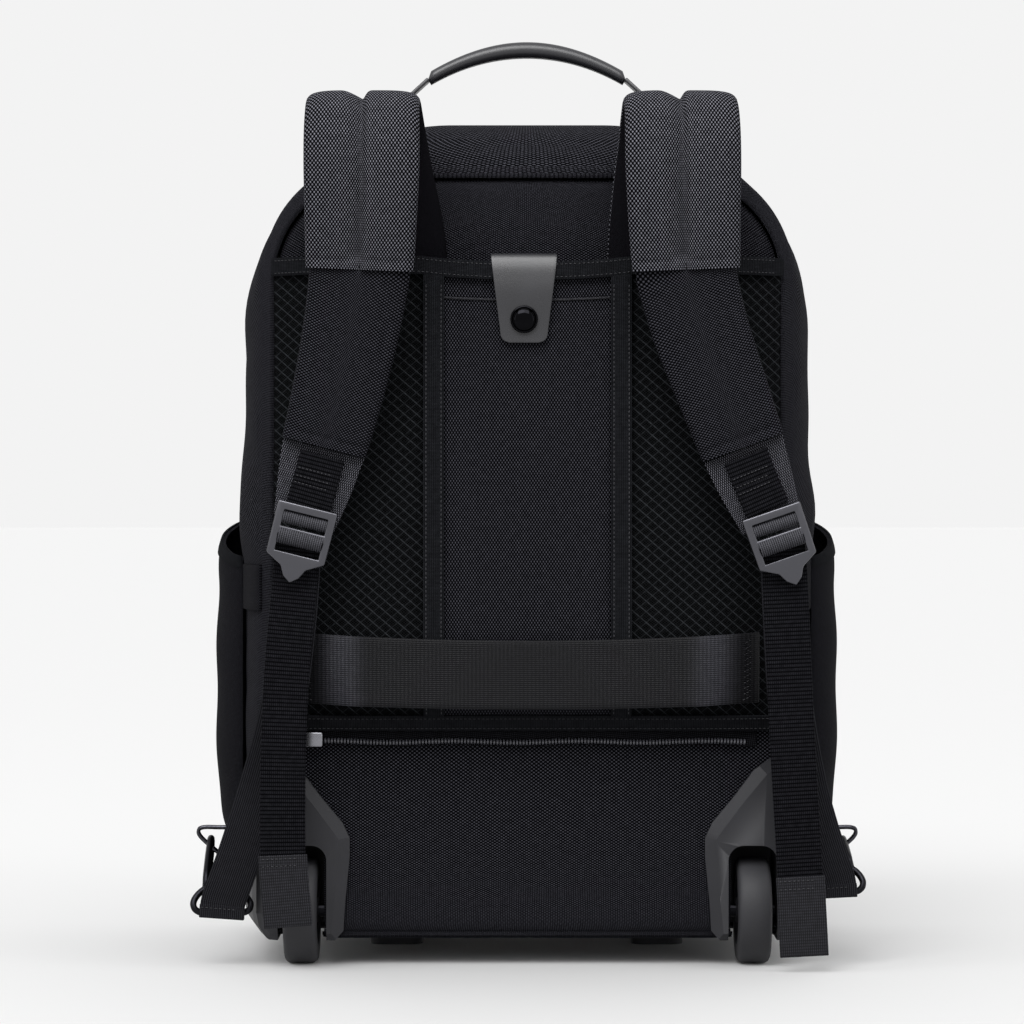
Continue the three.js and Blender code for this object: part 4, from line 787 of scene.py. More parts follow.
# Grosgrain, shuttle-woven: faint ribs, dull, dusty black
grosgrain = ribbed("black_grosgrain", "#040405", "#202124", 1.0, 0.8, 0.85, 0.4)
# Bonded polyester thread: one shiny speck for each stitch
thread, tree, gloss = new_material("bonded_thread", Roughness=0.5, Specular_IOR_Level=0.25)
twist = add(tree, "TexNoise", {"Scale": 1200.0})
tone = add(tree, "Mix", {0: twist.outputs[0], 6: paint("#0E0E10"), 7: paint("#3A3A3E")},
           data_type="RGBA")
tree.links.new(tone.outputs[2], gloss.inputs["Base Color"])

STITCH_PITCH, STITCH_LENGTH = 2.6, 1.7
bpy.ops.object.select_all(action="DESELECT")
bpy.ops.mesh.primitive_uv_sphere_add(segments=6, ring_count=5, radius=0.0003,
                                     rotation=(0, math.radians(90), 0))
stitch = bpy.context.object
bpy.ops.object.transform_apply(location=True, rotation=True, scale=True)
stitch.scale = (STITCH_LENGTH / 0.6, 1, 0.8)
stitch = unit_from(stitch)


def sew(name, points, pitch=STITCH_PITCH):
    """A row of stitches along a line."""
    return settle(run_along(name, stitch, points, pitch), thread, "webbing")


def tape_across(name, low, high, proud, follow_sag, *covers):
    """Tape sewn across the cover, with a row of stitches near each edge."""
    edge = COVER_HALF_WIDTH

    def face(x, z):
        hang = top_sag(x) * follow_sag
        return at(x, cover_front(x, min(z, COVER_TOP)) - proud, z + hang)

    made = lay_grid(name, 100, 5, lambda u, v: face((2 * u - 1) * edge, low + v * (high - low)),
                    2 * edge, high - low)
    shape(made,
          ("SOLIDIFY", {"thickness": 0.0014, "offset": -1}),
          ("BEVEL", {"width": 0.0004, "segments": 2, "limit_method": "ANGLE"}))
    settle(made, grosgrain, "webbing", *covers)
    for row, z in (("upper", high - 1.6), ("lower", low + 1.6)):
        line = [face(-edge + 3 + 2 * (edge - 3) * i / 90, z) + Vector((0, -0.0002, 0))
                for i in range(91)]
        sew(f"{name}_{row}_stitches", line)


tape_across("collar_tape", 399.75, 410.25, 1.9, 1.0, "harness_top_tape")
tape_across("harness_foot_tape", 134, 143, 1.7, 0.0, "harness_bottom_tape")

for side, sign in SIDES.items():
    near, far = PANEL_HALF_WIDTH - 0.6, PANEL_HALF_WIDTH + CHANNEL_TAPE
    low, high = COVER_BOTTOM + 9, 400

    def channel_face(across, z):
        x = near + across * (far - near)
        belly = 0.5 * math.sin(math.pi * across)
        return at(sign * x, cover_front(x, z) - 1.7 - belly,
                  z + top_sag(x) * max((z - 330) / 75, 0))

    channel = lay_grid(
        f"channel_tape_cloth_{side}", 6, 70,
        lambda u, v: channel_face(u if sign > 0 else 1 - u, low + v * (high - low)),
        CHANNEL_TAPE, high - low)
    shape(channel,
          ("SOLIDIFY", {"thickness": 0.0014, "offset": -1}),
          ("BEVEL", {"width": 0.0004, "segments": 2, "limit_method": "ANGLE"}))
    settle(channel, grosgrain, "webbing", f"channel_tape_{side}")
    for row, across in (("inner", 0.14), ("outer", 0.86)):
        line = [channel_face(across, low + 2 + (high - low - 4) * i / 80)
                + Vector((0, -0.0002, 0)) for i in range(81)]
        sew(f"channel_{side}_{row}_stitches", line)


# Harness zip: a coil zip below the cover, which opens the pocket of the harness. Its slider is
# bright aluminium and stands at the left end.
HARNESS_ZIP_MIDDLE, HARNESS_ZIP_HALF = 129.7, 134


def harness_zip_spot(u, v):
    x, z = (2 * u - 1) * HARNESS_ZIP_HALF, HARNESS_ZIP_MIDDLE + (v - 0.5) * 9
    return at(x, -2.0 - 0.5 * math.sin(v * math.pi), z + 0.5 * math.sin(u * 23))


harness_tape = lay_grid("harness_zip_tape", 80, 4, harness_zip_spot, 268, 9)
shape(harness_tape, ("SOLIDIFY", {"thickness": 0.0016, "offset": -1}))
settle(harness_tape, zip_tape, "zip_coil", "harness_zip")
coil_line = [at(x, -3.4, HARNESS_ZIP_MIDDLE - 2 + 0.5 * math.sin((x / 134 + 1) * 11.5))
             for x in range(-120, 131, 2)]
harness_coil = run_along("harness_zip_coil", coil_turn, coil_line, COIL_PITCH)
settle(harness_coil, zip_coil, "zip_coil")

# Aluminium, die-cast and polished: bright, with soft scratches
aluminium, tree, gloss = new_material("polished_aluminium", Metallic=1.0, Roughness=0.24)
scratch = add(tree, "TexNoise", {"Scale": 500.0, "Detail": 4.0})
tone = add(tree, "Mix", {0: scratch.outputs[0], 6: paint("#6E6E72"), 7: paint("#94949A")},
           data_type="RGBA")
tree.links.new(tone.outputs[2], gloss.inputs["Base Color"])
harness_slider = refined("harness_zip_slider", "harness_zip_slider_body")
shape(harness_slider, ("BEVEL", {"width": 0.0012, "segments": 3}))
settle(harness_slider, aluminium, "aluminium", "harness_zip_slider")


# Luggage strap: a 40 mm satin nylon band, sewn down at both ends over the pads, which slides
# over the handle of another case. It bends over the pads near its ends, where a painted highlight
# lightens its colour.
STRAP_HALF, STRAP_WIDTH, STRAP_MIDDLE, STRAP_WALL = 135, 40, 170, 1.8

# Nylon seat-belt webbing: fine long floats, so it shines in bands
satin_webbing = ribbed("satin_nylon_webbing", "#030304", "#18181B", 1.17, 2.3, 0.4, 0.5,
                       along=1, patchy=0.35, shine=0.1, gap=0.6, weave=0.5)
# A painted highlight: the colour is lightened up to 4.5 times in a band round each bend over the pads,
# 108 mm out from the middle
tree = satin_webbing.node_tree
gloss = tree.nodes["Principled BSDF"]
woven_tone = gloss.inputs["Base Color"].links[0].from_socket
along = add(tree, "SeparateXYZ", {0: add(tree, "TexCoord").outputs["UV"]})
centred = add(tree, "Math", {0: along.outputs[0], 1: STRAP_HALF / 1000}, operation="SUBTRACT")
out = add(tree, "Math", {0: centred.outputs[0]}, operation="ABSOLUTE")
# The painted highlight bands: out from the middle, and half their width, in metres
HIGHLIGHT_OUT, HIGHLIGHT_REACH = 0.108, 0.018
from_bend = add(tree, "Math", {0: out.outputs[0], 1: HIGHLIGHT_OUT}, operation="SUBTRACT")
off_bend = add(tree, "Math", {0: from_bend.outputs[0]}, operation="ABSOLUTE")
painted_highlight = add(tree, "MapRange", {"Value": off_bend.outputs[0], "From Max": HIGHLIGHT_REACH, "To Min": 1.0,
                                "To Max": 0.0}, interpolation_type="SMOOTHSTEP")
highlight_gain = add(tree, "Mix", {0: painted_highlight.outputs[0], 6: (1, 1, 1, 1), 7: (4.5, 4.5, 4.5, 1)},
                data_type="RGBA")
wear_and_highlight = add(tree, "Mix", {0: 1.0, 6: woven_tone, 7: highlight_gain.outputs[2]}, data_type="RGBA",
           blend_type="MULTIPLY")
tree.links.new(wear_and_highlight.outputs[2], gloss.inputs["Base Color"])


# Out from the middle: where the band begins to lie on the pads, and over what width it gets there
HOLD_FROM, HOLD_OVER = 92, 34
# The ridge of each pad: out from the middle, spread, and how far it lifts the band
RIDGE_OUT, RIDGE_SPREAD, RIDGE_LIFT = 101, 7, 2.2


def strap_face(x, z):
    flat = min(cover_front(k * COVER_HALF_WIDTH, STRAP_MIDDLE) for k in (0.4, 0.53, 0.7)) - 1.6
    own = cover_front(x, z) - 1.0
    hold = min(max((abs(x) - HOLD_FROM) / HOLD_OVER, 0), 1)
    hold = hold * hold * (3 - 2 * hold)
    # The band stands highest over the ridge of each pad and bends down from there
    ridge = RIDGE_LIFT * math.exp(-((abs(x) - RIDGE_OUT) / RIDGE_SPREAD) ** 2)
    return (flat + (own - flat) * hold) - STRAP_WALL - ridge


def luggage_spot(u, v):
    x = (2 * u - 1) * STRAP_HALF
    narrow = 1 + 0.03 * (x / STRAP_HALF) ** 2
    z = STRAP_MIDDLE + (v - 0.5) * STRAP_WIDTH * narrow - 2.4 + 4.0 * (x / STRAP_HALF) ** 2
    return at(x, strap_face(x, z), z)


luggage = lay_grid("luggage_strap_webbing", 110, 12, luggage_spot, 2 * STRAP_HALF, STRAP_WIDTH)
shape(luggage,
      ("SOLIDIFY", {"thickness": STRAP_WALL / 1000, "offset": -1}),
      ("BEVEL", {"width": 0.0005, "segments": 2, "limit_method": "ANGLE"}))
settle(luggage, satin_webbing, "webbing", "luggage_strap")
for side, sign in SIDES.items():
    zigzag = [luggage_spot(0.5 + sign * (0.5 - (0.02 if i % 2 else 0.034)), 0.06 + 0.88 * i / 22)
              + Vector((0, -0.0003, 0)) for i in range(23)]
    sew(f"luggage_strap_{side}_zigzag", zigzag, 2.2)


# Leather flap: one cut strip of leather, sewn to the rear wall behind the collar, which folds
# over it and closes the pocket of the pull handle with a domed snap.
FLAP_X, FLAP_TIP, FLAP_WALL = -2, 360, 2
collar_face = cover_front(PANEL_HALF_WIDTH, COVER_TOP) - 1.9
FLAP_LINE = [
    # run, depth, height, width
    (0, -1.6, 388, 38), (20, -1.6, 406, 38), (26, -6, 411.6, 38.2), (38, -17, 412.2, 38.4),
    (44, collar_face + 1.6, 410.6, 38.3), (50, collar_face - 0.8, 405, 37.4),
    (58, collar_face - 2.0, 397, 35.4), (66, collar_face - 2.4, 389, 33.4),
    (80, collar_face - 1.6, 375, 29.8), (90, collar_face - 1.2, 365, 27.4),
    (95, collar_face - 1.2, 360, 26.6),
]


def flap_spot(u, v):
    run = FLAP_LINE[-1][0] * v
    depth, height, width = (read(FLAP_LINE, k, run) for k in (1, 2, 3))
    corner = 5
    left_over = (FLAP_LINE[-1][0] - run)
    if left_over < corner:
        width -= 2 * (corner - math.sqrt(corner ** 2 - (corner - left_over) ** 2))
    return at(FLAP_X + (0.5 - u) * width, depth, height)


flap = lay_grid("leather_flap", 20, 90, flap_spot, 41, 94)
shape(flap,
      ("SOLIDIFY", {"thickness": FLAP_WALL / 1000, "offset": -1}),
      ("BEVEL", {"width": 0.0007, "segments": 3, "limit_method": "ANGLE"}))
settle(flap, black_leather, "leather", "trolley_flap")

# Snap cap: brass, plated black and polished to a mirror
mirror_black, tree, gloss = new_material("black_nickel", Metallic=1.0, Roughness=0.07)
haze = add(tree, "TexNoise", {"Scale": 120.0})
tone = add(tree, "Mix", {0: haze.outputs[0], 6: paint("#0C0C0E"), 7: paint("#141416")},
           data_type="RGBA")
tree.links.new(tone.outputs[2], gloss.inputs["Base Color"])

SNAP_Z, SNAP_RADIUS = FLAP_TIP + 13.5, 8
snap_face = -(read(FLAP_LINE, 1, 80) - 0.2)
bpy.ops.object.select_all(action="DESELECT")
bpy.ops.mesh.primitive_circle_add(vertices=48, radius=SNAP_RADIUS / 1000, fill_type="NGON",
                                  location=at(FLAP_X, -snap_face, SNAP_Z),
                                  rotation=(math.radians(90), 0, 0))
snap = bpy.context.object
snap.name = "domed_snap_cap"
bpy.ops.object.transform_apply(location=True, rotation=True, scale=True)
bpy.ops.object.mode_set(mode="EDIT")
bpy.ops.mesh.select_all(action="SELECT")
for step_in, step_out in ((0, 1.2), (0.5, 0.5), (0.5, 0.05), (0.3, -0.3), (0.4, 0.5), (0.9, 0.7),
                          (1.3, 0.55), (1.6, 0.35), (1.6, 0.12)):
    if step_in == 0:
        bpy.ops.mesh.extrude_region_move(
            TRANSFORM_OT_translate={"value": (0, -step_out / 1000, 0)})
    else:
        bpy.ops.mesh.inset(thickness=step_in / 1000, depth=step_out / 1000)
bpy.ops.object.mode_set(mode="OBJECT")
settle(snap, mirror_black, "black_metal", "flap_snap")


# Pull handle: a black plastic grip on two bars, pushed down into its pocket, where only the
# inside of the collar shows it.
def moulded(name, dark, light, rough, grain_size, depth):
    """Moulded plastic or rubber with an eroded skin: a fine even grain of a given size in mm."""
    made, tree, gloss = new_material(name, Roughness=rough, Specular_IOR_Level=0.3)
    place = add(tree, "TexCoord").outputs["Object"]
    grain = add(tree, "TexNoise", {"Vector": place, "Scale": 1000 / grain_size, "Detail": 3.0})
    cloud = add(tree, "TexNoise", {"Vector": place, "Scale": 30.0, "Detail": 4.0})
    tone = add(tree, "Mix", {0: cloud.outputs[0], 6: paint(dark), 7: paint(light)},
               data_type="RGBA")
    tree.links.new(tone.outputs[2], gloss.inputs["Base Color"])
    relief = add(tree, "Bump", {"Height": grain.outputs[0], "Strength": depth,
                                "Distance": 0.0002})
    tree.links.new(relief.outputs[0], gloss.inputs["Normal"])
    return made


# Polypropylene with a spark-eroded skin: matt dark grey, soft broad highlight
black_plastic = moulded("eroded_black_plastic", "#1C1C1F", "#242428", 0.55, 0.8, 0.3)
nodes["pull_handle"].data.materials.clear()
nodes["pull_handle"].data.materials.append(black_plastic)


# Shoulder straps: an upper pad arches from the rear wall over the shoulder, with a crease sewn
# down its middle, and laps over a flatter lower pad. Both are nylon over foam, lined inside.
ARCH_REACH, PAD_WIDTH = 57, 66
UPPER_RUN = [
    # share of height, across, out, width; the second across is the right strap's
    (0.777, 0.44, 0.44, 0.1197, 0.92), (0.845, 0.46, 0.455, 0.1197, 0.96),
    (0.912, 0.505, 0.48, 0.15, 1), (0.957, 0.533, 0.5, 0.2, 1.02), (0.987, 0.546, 0.508, 0.35, 1.02),
    (1.003, 0.553, 0.513, 0.58, 1.02), (0.99, 0.554, 0.516, 0.82, 1.02),
    (0.96, 0.554, 0.517, 0.96, 1.03), (0.92, 0.554, 0.518, 1, 1.03),
    (0.865, 0.557, 0.522, 0.965, 1.0), (0.815, 0.561, 0.528, 0.9, 0.97),
    (0.806, 0.562, 0.529, 0.893, 0.965),
]
LOWER_RUN = [
    (0.813, 0.561, 0.5285, 0.875, 0.9), (0.8, 0.563, 0.531, 0.86, 0.9),
    (0.775, 0.573, 0.548, 0.835, 0.88), (0.736, 0.592, 0.58, 0.805, 0.86),
    (0.69, 0.62, 0.628, 0.775, 0.83), (0.645, 0.651, 0.676, 0.75, 0.8),
    (0.602, 0.684, 0.722, 0.73, 0.77),
]
BACKING_RUN = [
    (0.6009, 0.6847, 0.7231, 0.7, 0.73), (0.56, 0.715, 0.768, 0.68, 0.66),
    (0.514, 0.752, 0.822, 0.66, 0.55),
]
LINK_RUN = [
    (0.592, 0.688, 0.73, 0.757, 1), (0.56, 0.713, 0.768, 0.737, 1),
    (0.53, 0.738, 0.806, 0.728, 1),
]


def strap_frames(rows, side, count):
    """Even steps along a strap: its middle, its directions across and through, and its width."""
    places = [Vector((SIDES[side] * row[1 if side == "left" else 2] * HALF_WIDTH,
                      -row[3] * ARCH_REACH, row[0] * TOP)) for row in rows]
    runs = [0.0]
    for a, b in zip(places, places[1:]):
        runs.append(runs[-1] + (b - a).length)
    table = [(run, *place, row[4]) for run, place, row in zip(runs, places, rows)]
    line = []
    for i in range(count + 1):
        run = runs[-1] * i / count
        here = Vector([read(table, k, run) for k in (1, 2, 3)])
        step = runs[-1] / count / 2
        ahead = Vector([read(table, k, min(run + step, runs[-1])) for k in (1, 2, 3)])
        behind = Vector([read(table, k, max(run - step, 0)) for k in (1, 2, 3)])
        along = (ahead - behind).normalized()
        across = (Vector((1, 0, 0)) - along * along.x).normalized()
        line.append((here, across, along.cross(across), read(table, 4, run)))
    return line, runs[-1]


def strap_cloth(name, rows, side, width, wall, columns, count, wave=None):
    """A flat strap laid along its rows, front face first, given its wall behind."""
    line, length = strap_frames(rows, side, count)

    def spot(u, v):
        middle, across, through, wide = line[round(v * count)]
        lift = wall / 2 + (wave(u, v * length) if wave else 0)
        place = middle + across * (0.5 - u) * width * wide + through * lift
        return at(*place)

    made = lay_grid(name, columns, count, spot, width, length)
    return shape(made,
                 ("SOLIDIFY", {"thickness": wall / 1000, "offset": -1}),
                 ("BEVEL", {"width": min(wall * 0.3, 0.6) / 1000, "segments": 2,
                            "limit_method": "ANGLE"}))


# Strap lining: brushed polyester knit, deep black, which takes up all light
brushed_knit, tree, gloss = new_material(
    "brushed_knit_lining", Roughness=0.95, Specular_IOR_Level=0.03)
pile = add(tree, "TexNoise", {"Scale": 420.0, "Detail": 8.0})
pile_mask = add(tree, "MapRange", {"Value": pile.outputs[0], "From Min": 0.35, "From Max": 0.7})
tone = add(tree, "Mix", {0: pile_mask.outputs[0], 6: paint("#020203"), 7: paint("#121115")},
           data_type="RGBA")
tree.links.new(tone.outputs[2], gloss.inputs["Base Color"])
relief = add(tree, "Bump", {"Height": pile.outputs[0], "Strength": 0.7, "Distance": 0.0006})
tree.links.new(relief.outputs[0], gloss.inputs["Normal"])


HEM_LENGTH, HEM_WALL = 5.5, 2.6


def shoulder_pad(name, rows, side, thickness, crease, count):
    """A closed pad along its rows: its face is u below 0.5 and its lining above. At the top it
    closes round, at the foot it is pressed into a flat hem."""
    line, length = strap_frames(rows, side, count)
    columns = 64

    def spot(u, v):
        middle, across, through, wide = line[round(v * count)]
        face = u <= 0.5
        t = 1 - 4 * u if face else 4 * u - 3
        s = math.copysign(abs(t) ** 1.25, t)
        start, foot = v * length, (1 - v) * length
        closing = min(start / 5, 1)
        roll = math.sqrt(max(closing * (2 - closing), 0))
        flat = min(max((HEM_LENGTH + 3 - foot) / 4, 0), 1)
        flat = flat * flat * (3 - 2 * flat)
        dome = math.sqrt(max(1 - abs(s) ** 5, 0))
        if face:
            # The crease has a long flank on its left and a steep one on its right
            flank = s / 0.1 if s > 0 else -s / 0.34
            dome *= 1 - crease * (1 - 0.55 * flat) * max(1 - flank, 0) ** 1.3
            rise = dome * thickness / 2
            groove = math.exp(-((foot - HEM_LENGTH) / 1.1) ** 2)
            rise -= 1.1 * groove * dome + 0.35 * flat * math.sin(s * 21 + 1) * dome
        else:
            rise = -dome * thickness / 2 * (1 - flat)
            rise += flat * (thickness / 2 - HEM_WALL) * dome
        width = PAD_WIDTH * wide * (1 - 0.03 * (1 - roll))
        return at(*(middle + across * s * width / 2 + through * rise * roll))

    made = lay_grid(name, columns, count, spot, 4 * PAD_WIDTH / 2, length, weld=True)
    seams = []
    for i in range(count + 1):
        middle, across, through, wide = line[i]
        half = PAD_WIDTH * wide / 2
        seams += [(at(*(middle + across * half * k)), 0.004) for k in (-1, 1)]
        if crease:
            seams.append((at(*(middle + through * thickness * (0.5 - crease / 2))), 0.0026))
    hems = [(at(*line[k][0]), line[k][1].cross(line[k][2]), near)
            for k, near in ((0, 0.0035), (-1, HEM_LENGTH / 1000 + 0.002))]
    reach = PAD_WIDTH / 2000 + 0.004

    def held(co):
        return (any((co - place).length < near for place, near in seams)
                or any(abs((co - end).dot(run)) < near and (co - end).length < reach
                       for end, run, near in hems))

    plump(made, held, 3.0)
    return shape(made, ("SUBSURF", {"levels": 1, "render_levels": 1}))


for side, sign in SIDES.items():
    for part, rows, thickness, crease, count in (
            ("upper", UPPER_RUN, 13, 0.82, 130), ("lower", LOWER_RUN, 11, 0.0, 60)):
        pad = shoulder_pad(f"shoulder_{part}_pad_{side}", rows, side, thickness, crease, count)
        # Upper pads get the paler copy of the nylon (painted light), lower pads the darker one
        # (painted shade)
        cloth = ballistic_nylon if part == "upper" else shaded_ballistic_nylon
        settle(pad, cloth, "ballistic_fabric", f"strap_{side}_{part}_pad", smooth=180)
        pad.data.materials.append(brushed_knit)
        for face in pad.data.polygons:
            across = sum(pad.data.uv_layers[0].data[k].uv.x for k in face.loop_indices)
            if across / face.loop_total > PAD_WIDTH / 1000 + 0.001:
                face.material_index = 1
        if part == "lower":
            crosswise(pad)
    backing = strap_cloth(f"strap_backing_{side}", BACKING_RUN, side, PAD_WIDTH, 3, 12, 12)
    settle(backing, ballistic_nylon, "ballistic_fabric", f"strap_{side}_backing")


# Strap webbing: 26 mm nylon webbing. A short link holds the ladder buckle to the pad, a load
# strap comes up from the side ring, and its tail hangs free below the buckle.
WEBBING_WIDTH, WEBBING_WALL = 26, 1.8
TAIL_RUNS = {
    "left": [(0.503, 0.765, 0.765, 0.728, 1), (0.45, 0.782, 0.782, 0.69, 1),
             (0.31, 0.815, 0.815, 0.66, 1), (0.136, 0.824, 0.824, 0.62, 1),
             (0.046, 0.806, 0.806, 0.6, 1)],
    "right": [(0.498, 0.853, 0.853, 0.728, 1), (0.449, 0.865, 0.865, 0.69, 1),
              (0.264, 0.89, 0.89, 0.66, 1), (0.108, 0.917, 0.917, 0.62, 1),
              (0.012, 0.932, 0.932, 0.6, 1)],
}
LOAD_RUNS = {
    "left": [(0.49, 0.768, 0.768, 0.679, 1), (0.4, 0.788, 0.788, 0.6, 1),
             (0.3, 0.828, 0.828, 0.48, 1), (0.21, 0.9, 0.9, 0.29, 1),
             (0.14, 0.965, 0.965, 0.24, 1), (0.09, 1.016, 1.016, 0.21, 1),
             (0.07, 1.037, 1.037, 0.19, 1), (0.05, 1.042, 1.042, 0.19, 1)],
    "right": [(0.485, 0.856, 0.856, 0.679, 1), (0.4, 0.868, 0.868, 0.6, 1),
              (0.3, 0.89, 0.89, 0.48, 1), (0.21, 0.94, 0.94, 0.29, 1),
              (0.16, 0.98, 0.98, 0.24, 1), (0.115, 1.022, 1.022, 0.21, 1),
              (0.094, 1.043, 1.043, 0.19, 1), (0.0745, 1.047, 1.047, 0.19, 1)],
}

# Nylon webbing, heavy: ribs across it 2.6 mm apart, crossed by fine glinting threads
strap_webbing = ribbed("nylon_strap_webbing", "#010102", "#222226", 2.3, 1.17, 0.6, 0.7,
                       along=1, patchy=0.5, gap=0.6, weave=0.25)
# Finer webbing with ribs along it, smoother and a little paler
ribbed_webbing = ribbed("ribbed_strap_webbing", "#060607", "#29292D", 1.2, 0.9, 0.6, 0.6,
                        patchy=0.25, gap=0.6, weave=0.6)

# The same webbing turned back on itself and steamed: its warp shows as fine upright ribs
folded_webbing = ribbed("turned_webbing_end", "#050506", "#2C2C31", 1.2, 1.7, 0.45, 0.6,
                        patchy=0.4, gap=0.5, weave=0.4, shine=0.12)
# Webbing drawn tight round a buckle's bars, where its ribs stand open and glint: a paler copy of the
# strap webbing, its lighter colour a painted highlight on the rolls
highlighted_roll_webbing = ribbed("strap_webbing_roll_painted_highlight", "#050506", "#4A4A50", 1.25, 1.1, 0.5, 0.6,
                       patchy=0.35, gap=0.55, weave=0.5, shine=0.1)
# Each tail's turned end, between two shares of the body's height
TAIL_ENDS = {"left": (0.13, 0.0462), "right": (0.105, 0.0122)}
TURNED_WIDTH, HEM_SHARE = 28, 0.016
# The webbing rolls in a buckle's two slots: height over the buckle's middle, how high, how proud
BUCKLE_ROLLS = [(7.9, 7.4, 3.0), (-2.5, 10.2, 5.0)]
BUCKLES = {"left": (0.501, 0.758, 14), "right": (0.497, 0.845, -19)}


def part_of(rows, side, high, low, count=6):
    """The piece of a strap between two shares of the height, in even steps."""
    column = 1 if side == "left" else 2
    table = [(-row[0], row[column], row[3]) for row in rows]
    steps = [high + (low - high) * i / count for i in range(count + 1)]
    return [(step, read(table, 1, -step), read(table, 1, -step), read(table, 2, -step), 1)
            for step in steps]


def across_line(rows, side, width, share, lift, count=12):
    """Places along a straight line across a strap, at a share of its length."""
    line, length = strap_frames(rows, side, 40)
    middle, across, through, wide = line[round(share * 40)]
    return [at(*(middle + across * (k / count - 0.5) * width * wide + through * lift))
            for k in range(count + 1)]


for side, sign in SIDES.items():
    end = part_of(TAIL_RUNS[side], side, *TAIL_ENDS[side])
    turned = strap_cloth(f"strap_tail_turned_end_{side}", end, side, TURNED_WIDTH, 1.4, 10, 24,
                         wave=lambda u, run: 1.2)
    settle(turned, folded_webbing, "webbing")
    for name, share in (("upper", 0.05), ("lower", 0.14)):
        sew(f"tail_end_{side}_{name}_stitches",
            across_line(end, side, WEBBING_WIDTH - 3, share, 2.2))
    low = LOAD_RUNS[side][-1][0]
    hem = part_of(LOAD_RUNS[side], side, low + HEM_SHARE, low + 0.0005, 3)
    hem_piece = strap_cloth(f"load_webbing_hem_{side}", hem, side, WEBBING_WIDTH + 0.4, 1.4, 10, 8,
                            wave=lambda u, run: 1.1)
    settle(hem_piece, ribbed_webbing, "webbing")
    sew(f"load_hem_{side}_stitches", across_line(hem, side, WEBBING_WIDTH - 3, 0.25, 2.1))

    height, across, lean = BUCKLES[side]
    slant = math.radians(lean)
    middle = Vector((sign * across * HALF_WIDTH, -45, height * TOP))
    for k, (up, high, proud) in enumerate(BUCKLE_ROLLS):

        def roll_spot(u, v):
            over, along = math.pi * v, (u - 0.5) * 25.4
            rise = up - math.cos(over) * high / 2
            return at(middle.x + along * math.cos(slant) + rise * math.sin(slant),
                      middle.y + 1.2 - math.sin(over) * proud,
                      middle.z - along * math.sin(slant) + rise * math.cos(slant))

        roll = lay_grid(f"buckle_{side}_webbing_roll_{k + 1}", 12, 8, roll_spot, 25.4, high * 1.6)
        shape(roll, ("SOLIDIFY", {"thickness": 0.0008, "offset": -1}))
        settle(roll, highlighted_roll_webbing, "webbing")
    for k, share in enumerate((0.3, 0.44, 0.58)):
        sew(f"buckle_link_{side}_stitches_{k + 1}",
            across_line(LINK_RUN, side, WEBBING_WIDTH - 4, share, 2.0), 2.2)

for side, sign in SIDES.items():
    link = strap_cloth(f"buckle_link_webbing_{side}", LINK_RUN, side, WEBBING_WIDTH,
                       WEBBING_WALL, 8, 20)
    settle(link, strap_webbing, "webbing", f"strap_{side}_link")
    tail = strap_cloth(f"strap_tail_webbing_{side}", TAIL_RUNS[side], side, WEBBING_WIDTH,
                       WEBBING_WALL, 10, 80,
                       wave=lambda u, run: 0.35 * math.sin(run / 17) * math.cos(u * 3))
    settle(tail, strap_webbing, "webbing", f"strap_{side}_tail")
    load = strap_cloth(f"load_webbing_{side}", LOAD_RUNS[side], side, WEBBING_WIDTH,
                       WEBBING_WALL, 10, 80)
    settle(load, ribbed_webbing, "webbing", f"strap_{side}_load_webbing")
    buckle = refined(f"strap_{side}_buckle", f"ladder_buckle_{side}")
    shape(buckle, ("BEVEL", {"width": 0.0009, "segments": 3, "limit_method": "ANGLE",
                             "angle_limit": math.radians(25)}))
    settle(buckle, gunmetal, "gunmetal", f"strap_{side}_buckle")


# Side rings and snap hooks: a bent wire ring on a webbing tab low on each side, and a blackened
# hook that joins the load strap to it.
# Steel, blackened in oil: nearly black with a soft metal glint
black_steel, tree, gloss = new_material("oil_blackened_steel", Metallic=1.0, Roughness=0.36)
scale_marks = add(tree, "TexNoise", {"Scale": 260.0, "Detail": 3.0})
tone = add(tree, "Mix", {0: scale_marks.outputs[0], 6: paint("#151517"), 7: paint("#26262A")},
           data_type="RGBA")
tree.links.new(tone.outputs[2], gloss.inputs["Base Color"])

# The rings are drawn steel wire, plated dark and bright: black with thin white lights
plated_wire, tree, gloss = new_material("plated_steel_wire", Metallic=1.0, Roughness=0.13)
drawn = add(tree, "TexNoise", {"Scale": 200.0})
tone = add(tree, "Mix", {0: drawn.outputs[0], 6: paint("#2E2E32"), 7: paint("#424247")},
           data_type="RGBA")
tree.links.new(tone.outputs[2], gloss.inputs["Base Color"])

for side in SIDES:
    ring = refined(f"side_ring_{side}", f"side_ring_wire_{side}", dissolve=0)
    shape(ring, ("SUBSURF", {"levels": 2, "render_levels": 2}),
          ("DISPLACE", {"strength": 0.0004, "mid_level": 0.0}))
    settle(ring, plated_wire, "gunmetal", f"side_ring_{side}", smooth=180)
    hook = refined(f"snap_hook_{side}", f"snap_hook_steel_{side}", dissolve=0)
    shape(hook, ("SUBSURF", {"levels": 2, "render_levels": 2}),
          ("DISPLACE", {"strength": 0.0004, "mid_level": 0.0}))
    settle(hook, black_steel, "black_metal", f"snap_hook_{side}", smooth=180)
    tab = refined(f"ring_tab_{side}", f"ring_tab_webbing_{side}")
    shape(tab, ("BEVEL", {"width": 0.0004, "segments": 2, "limit_method": "ANGLE"}))
    settle(tab, grosgrain, "webbing", f"ring_tab_{side}")


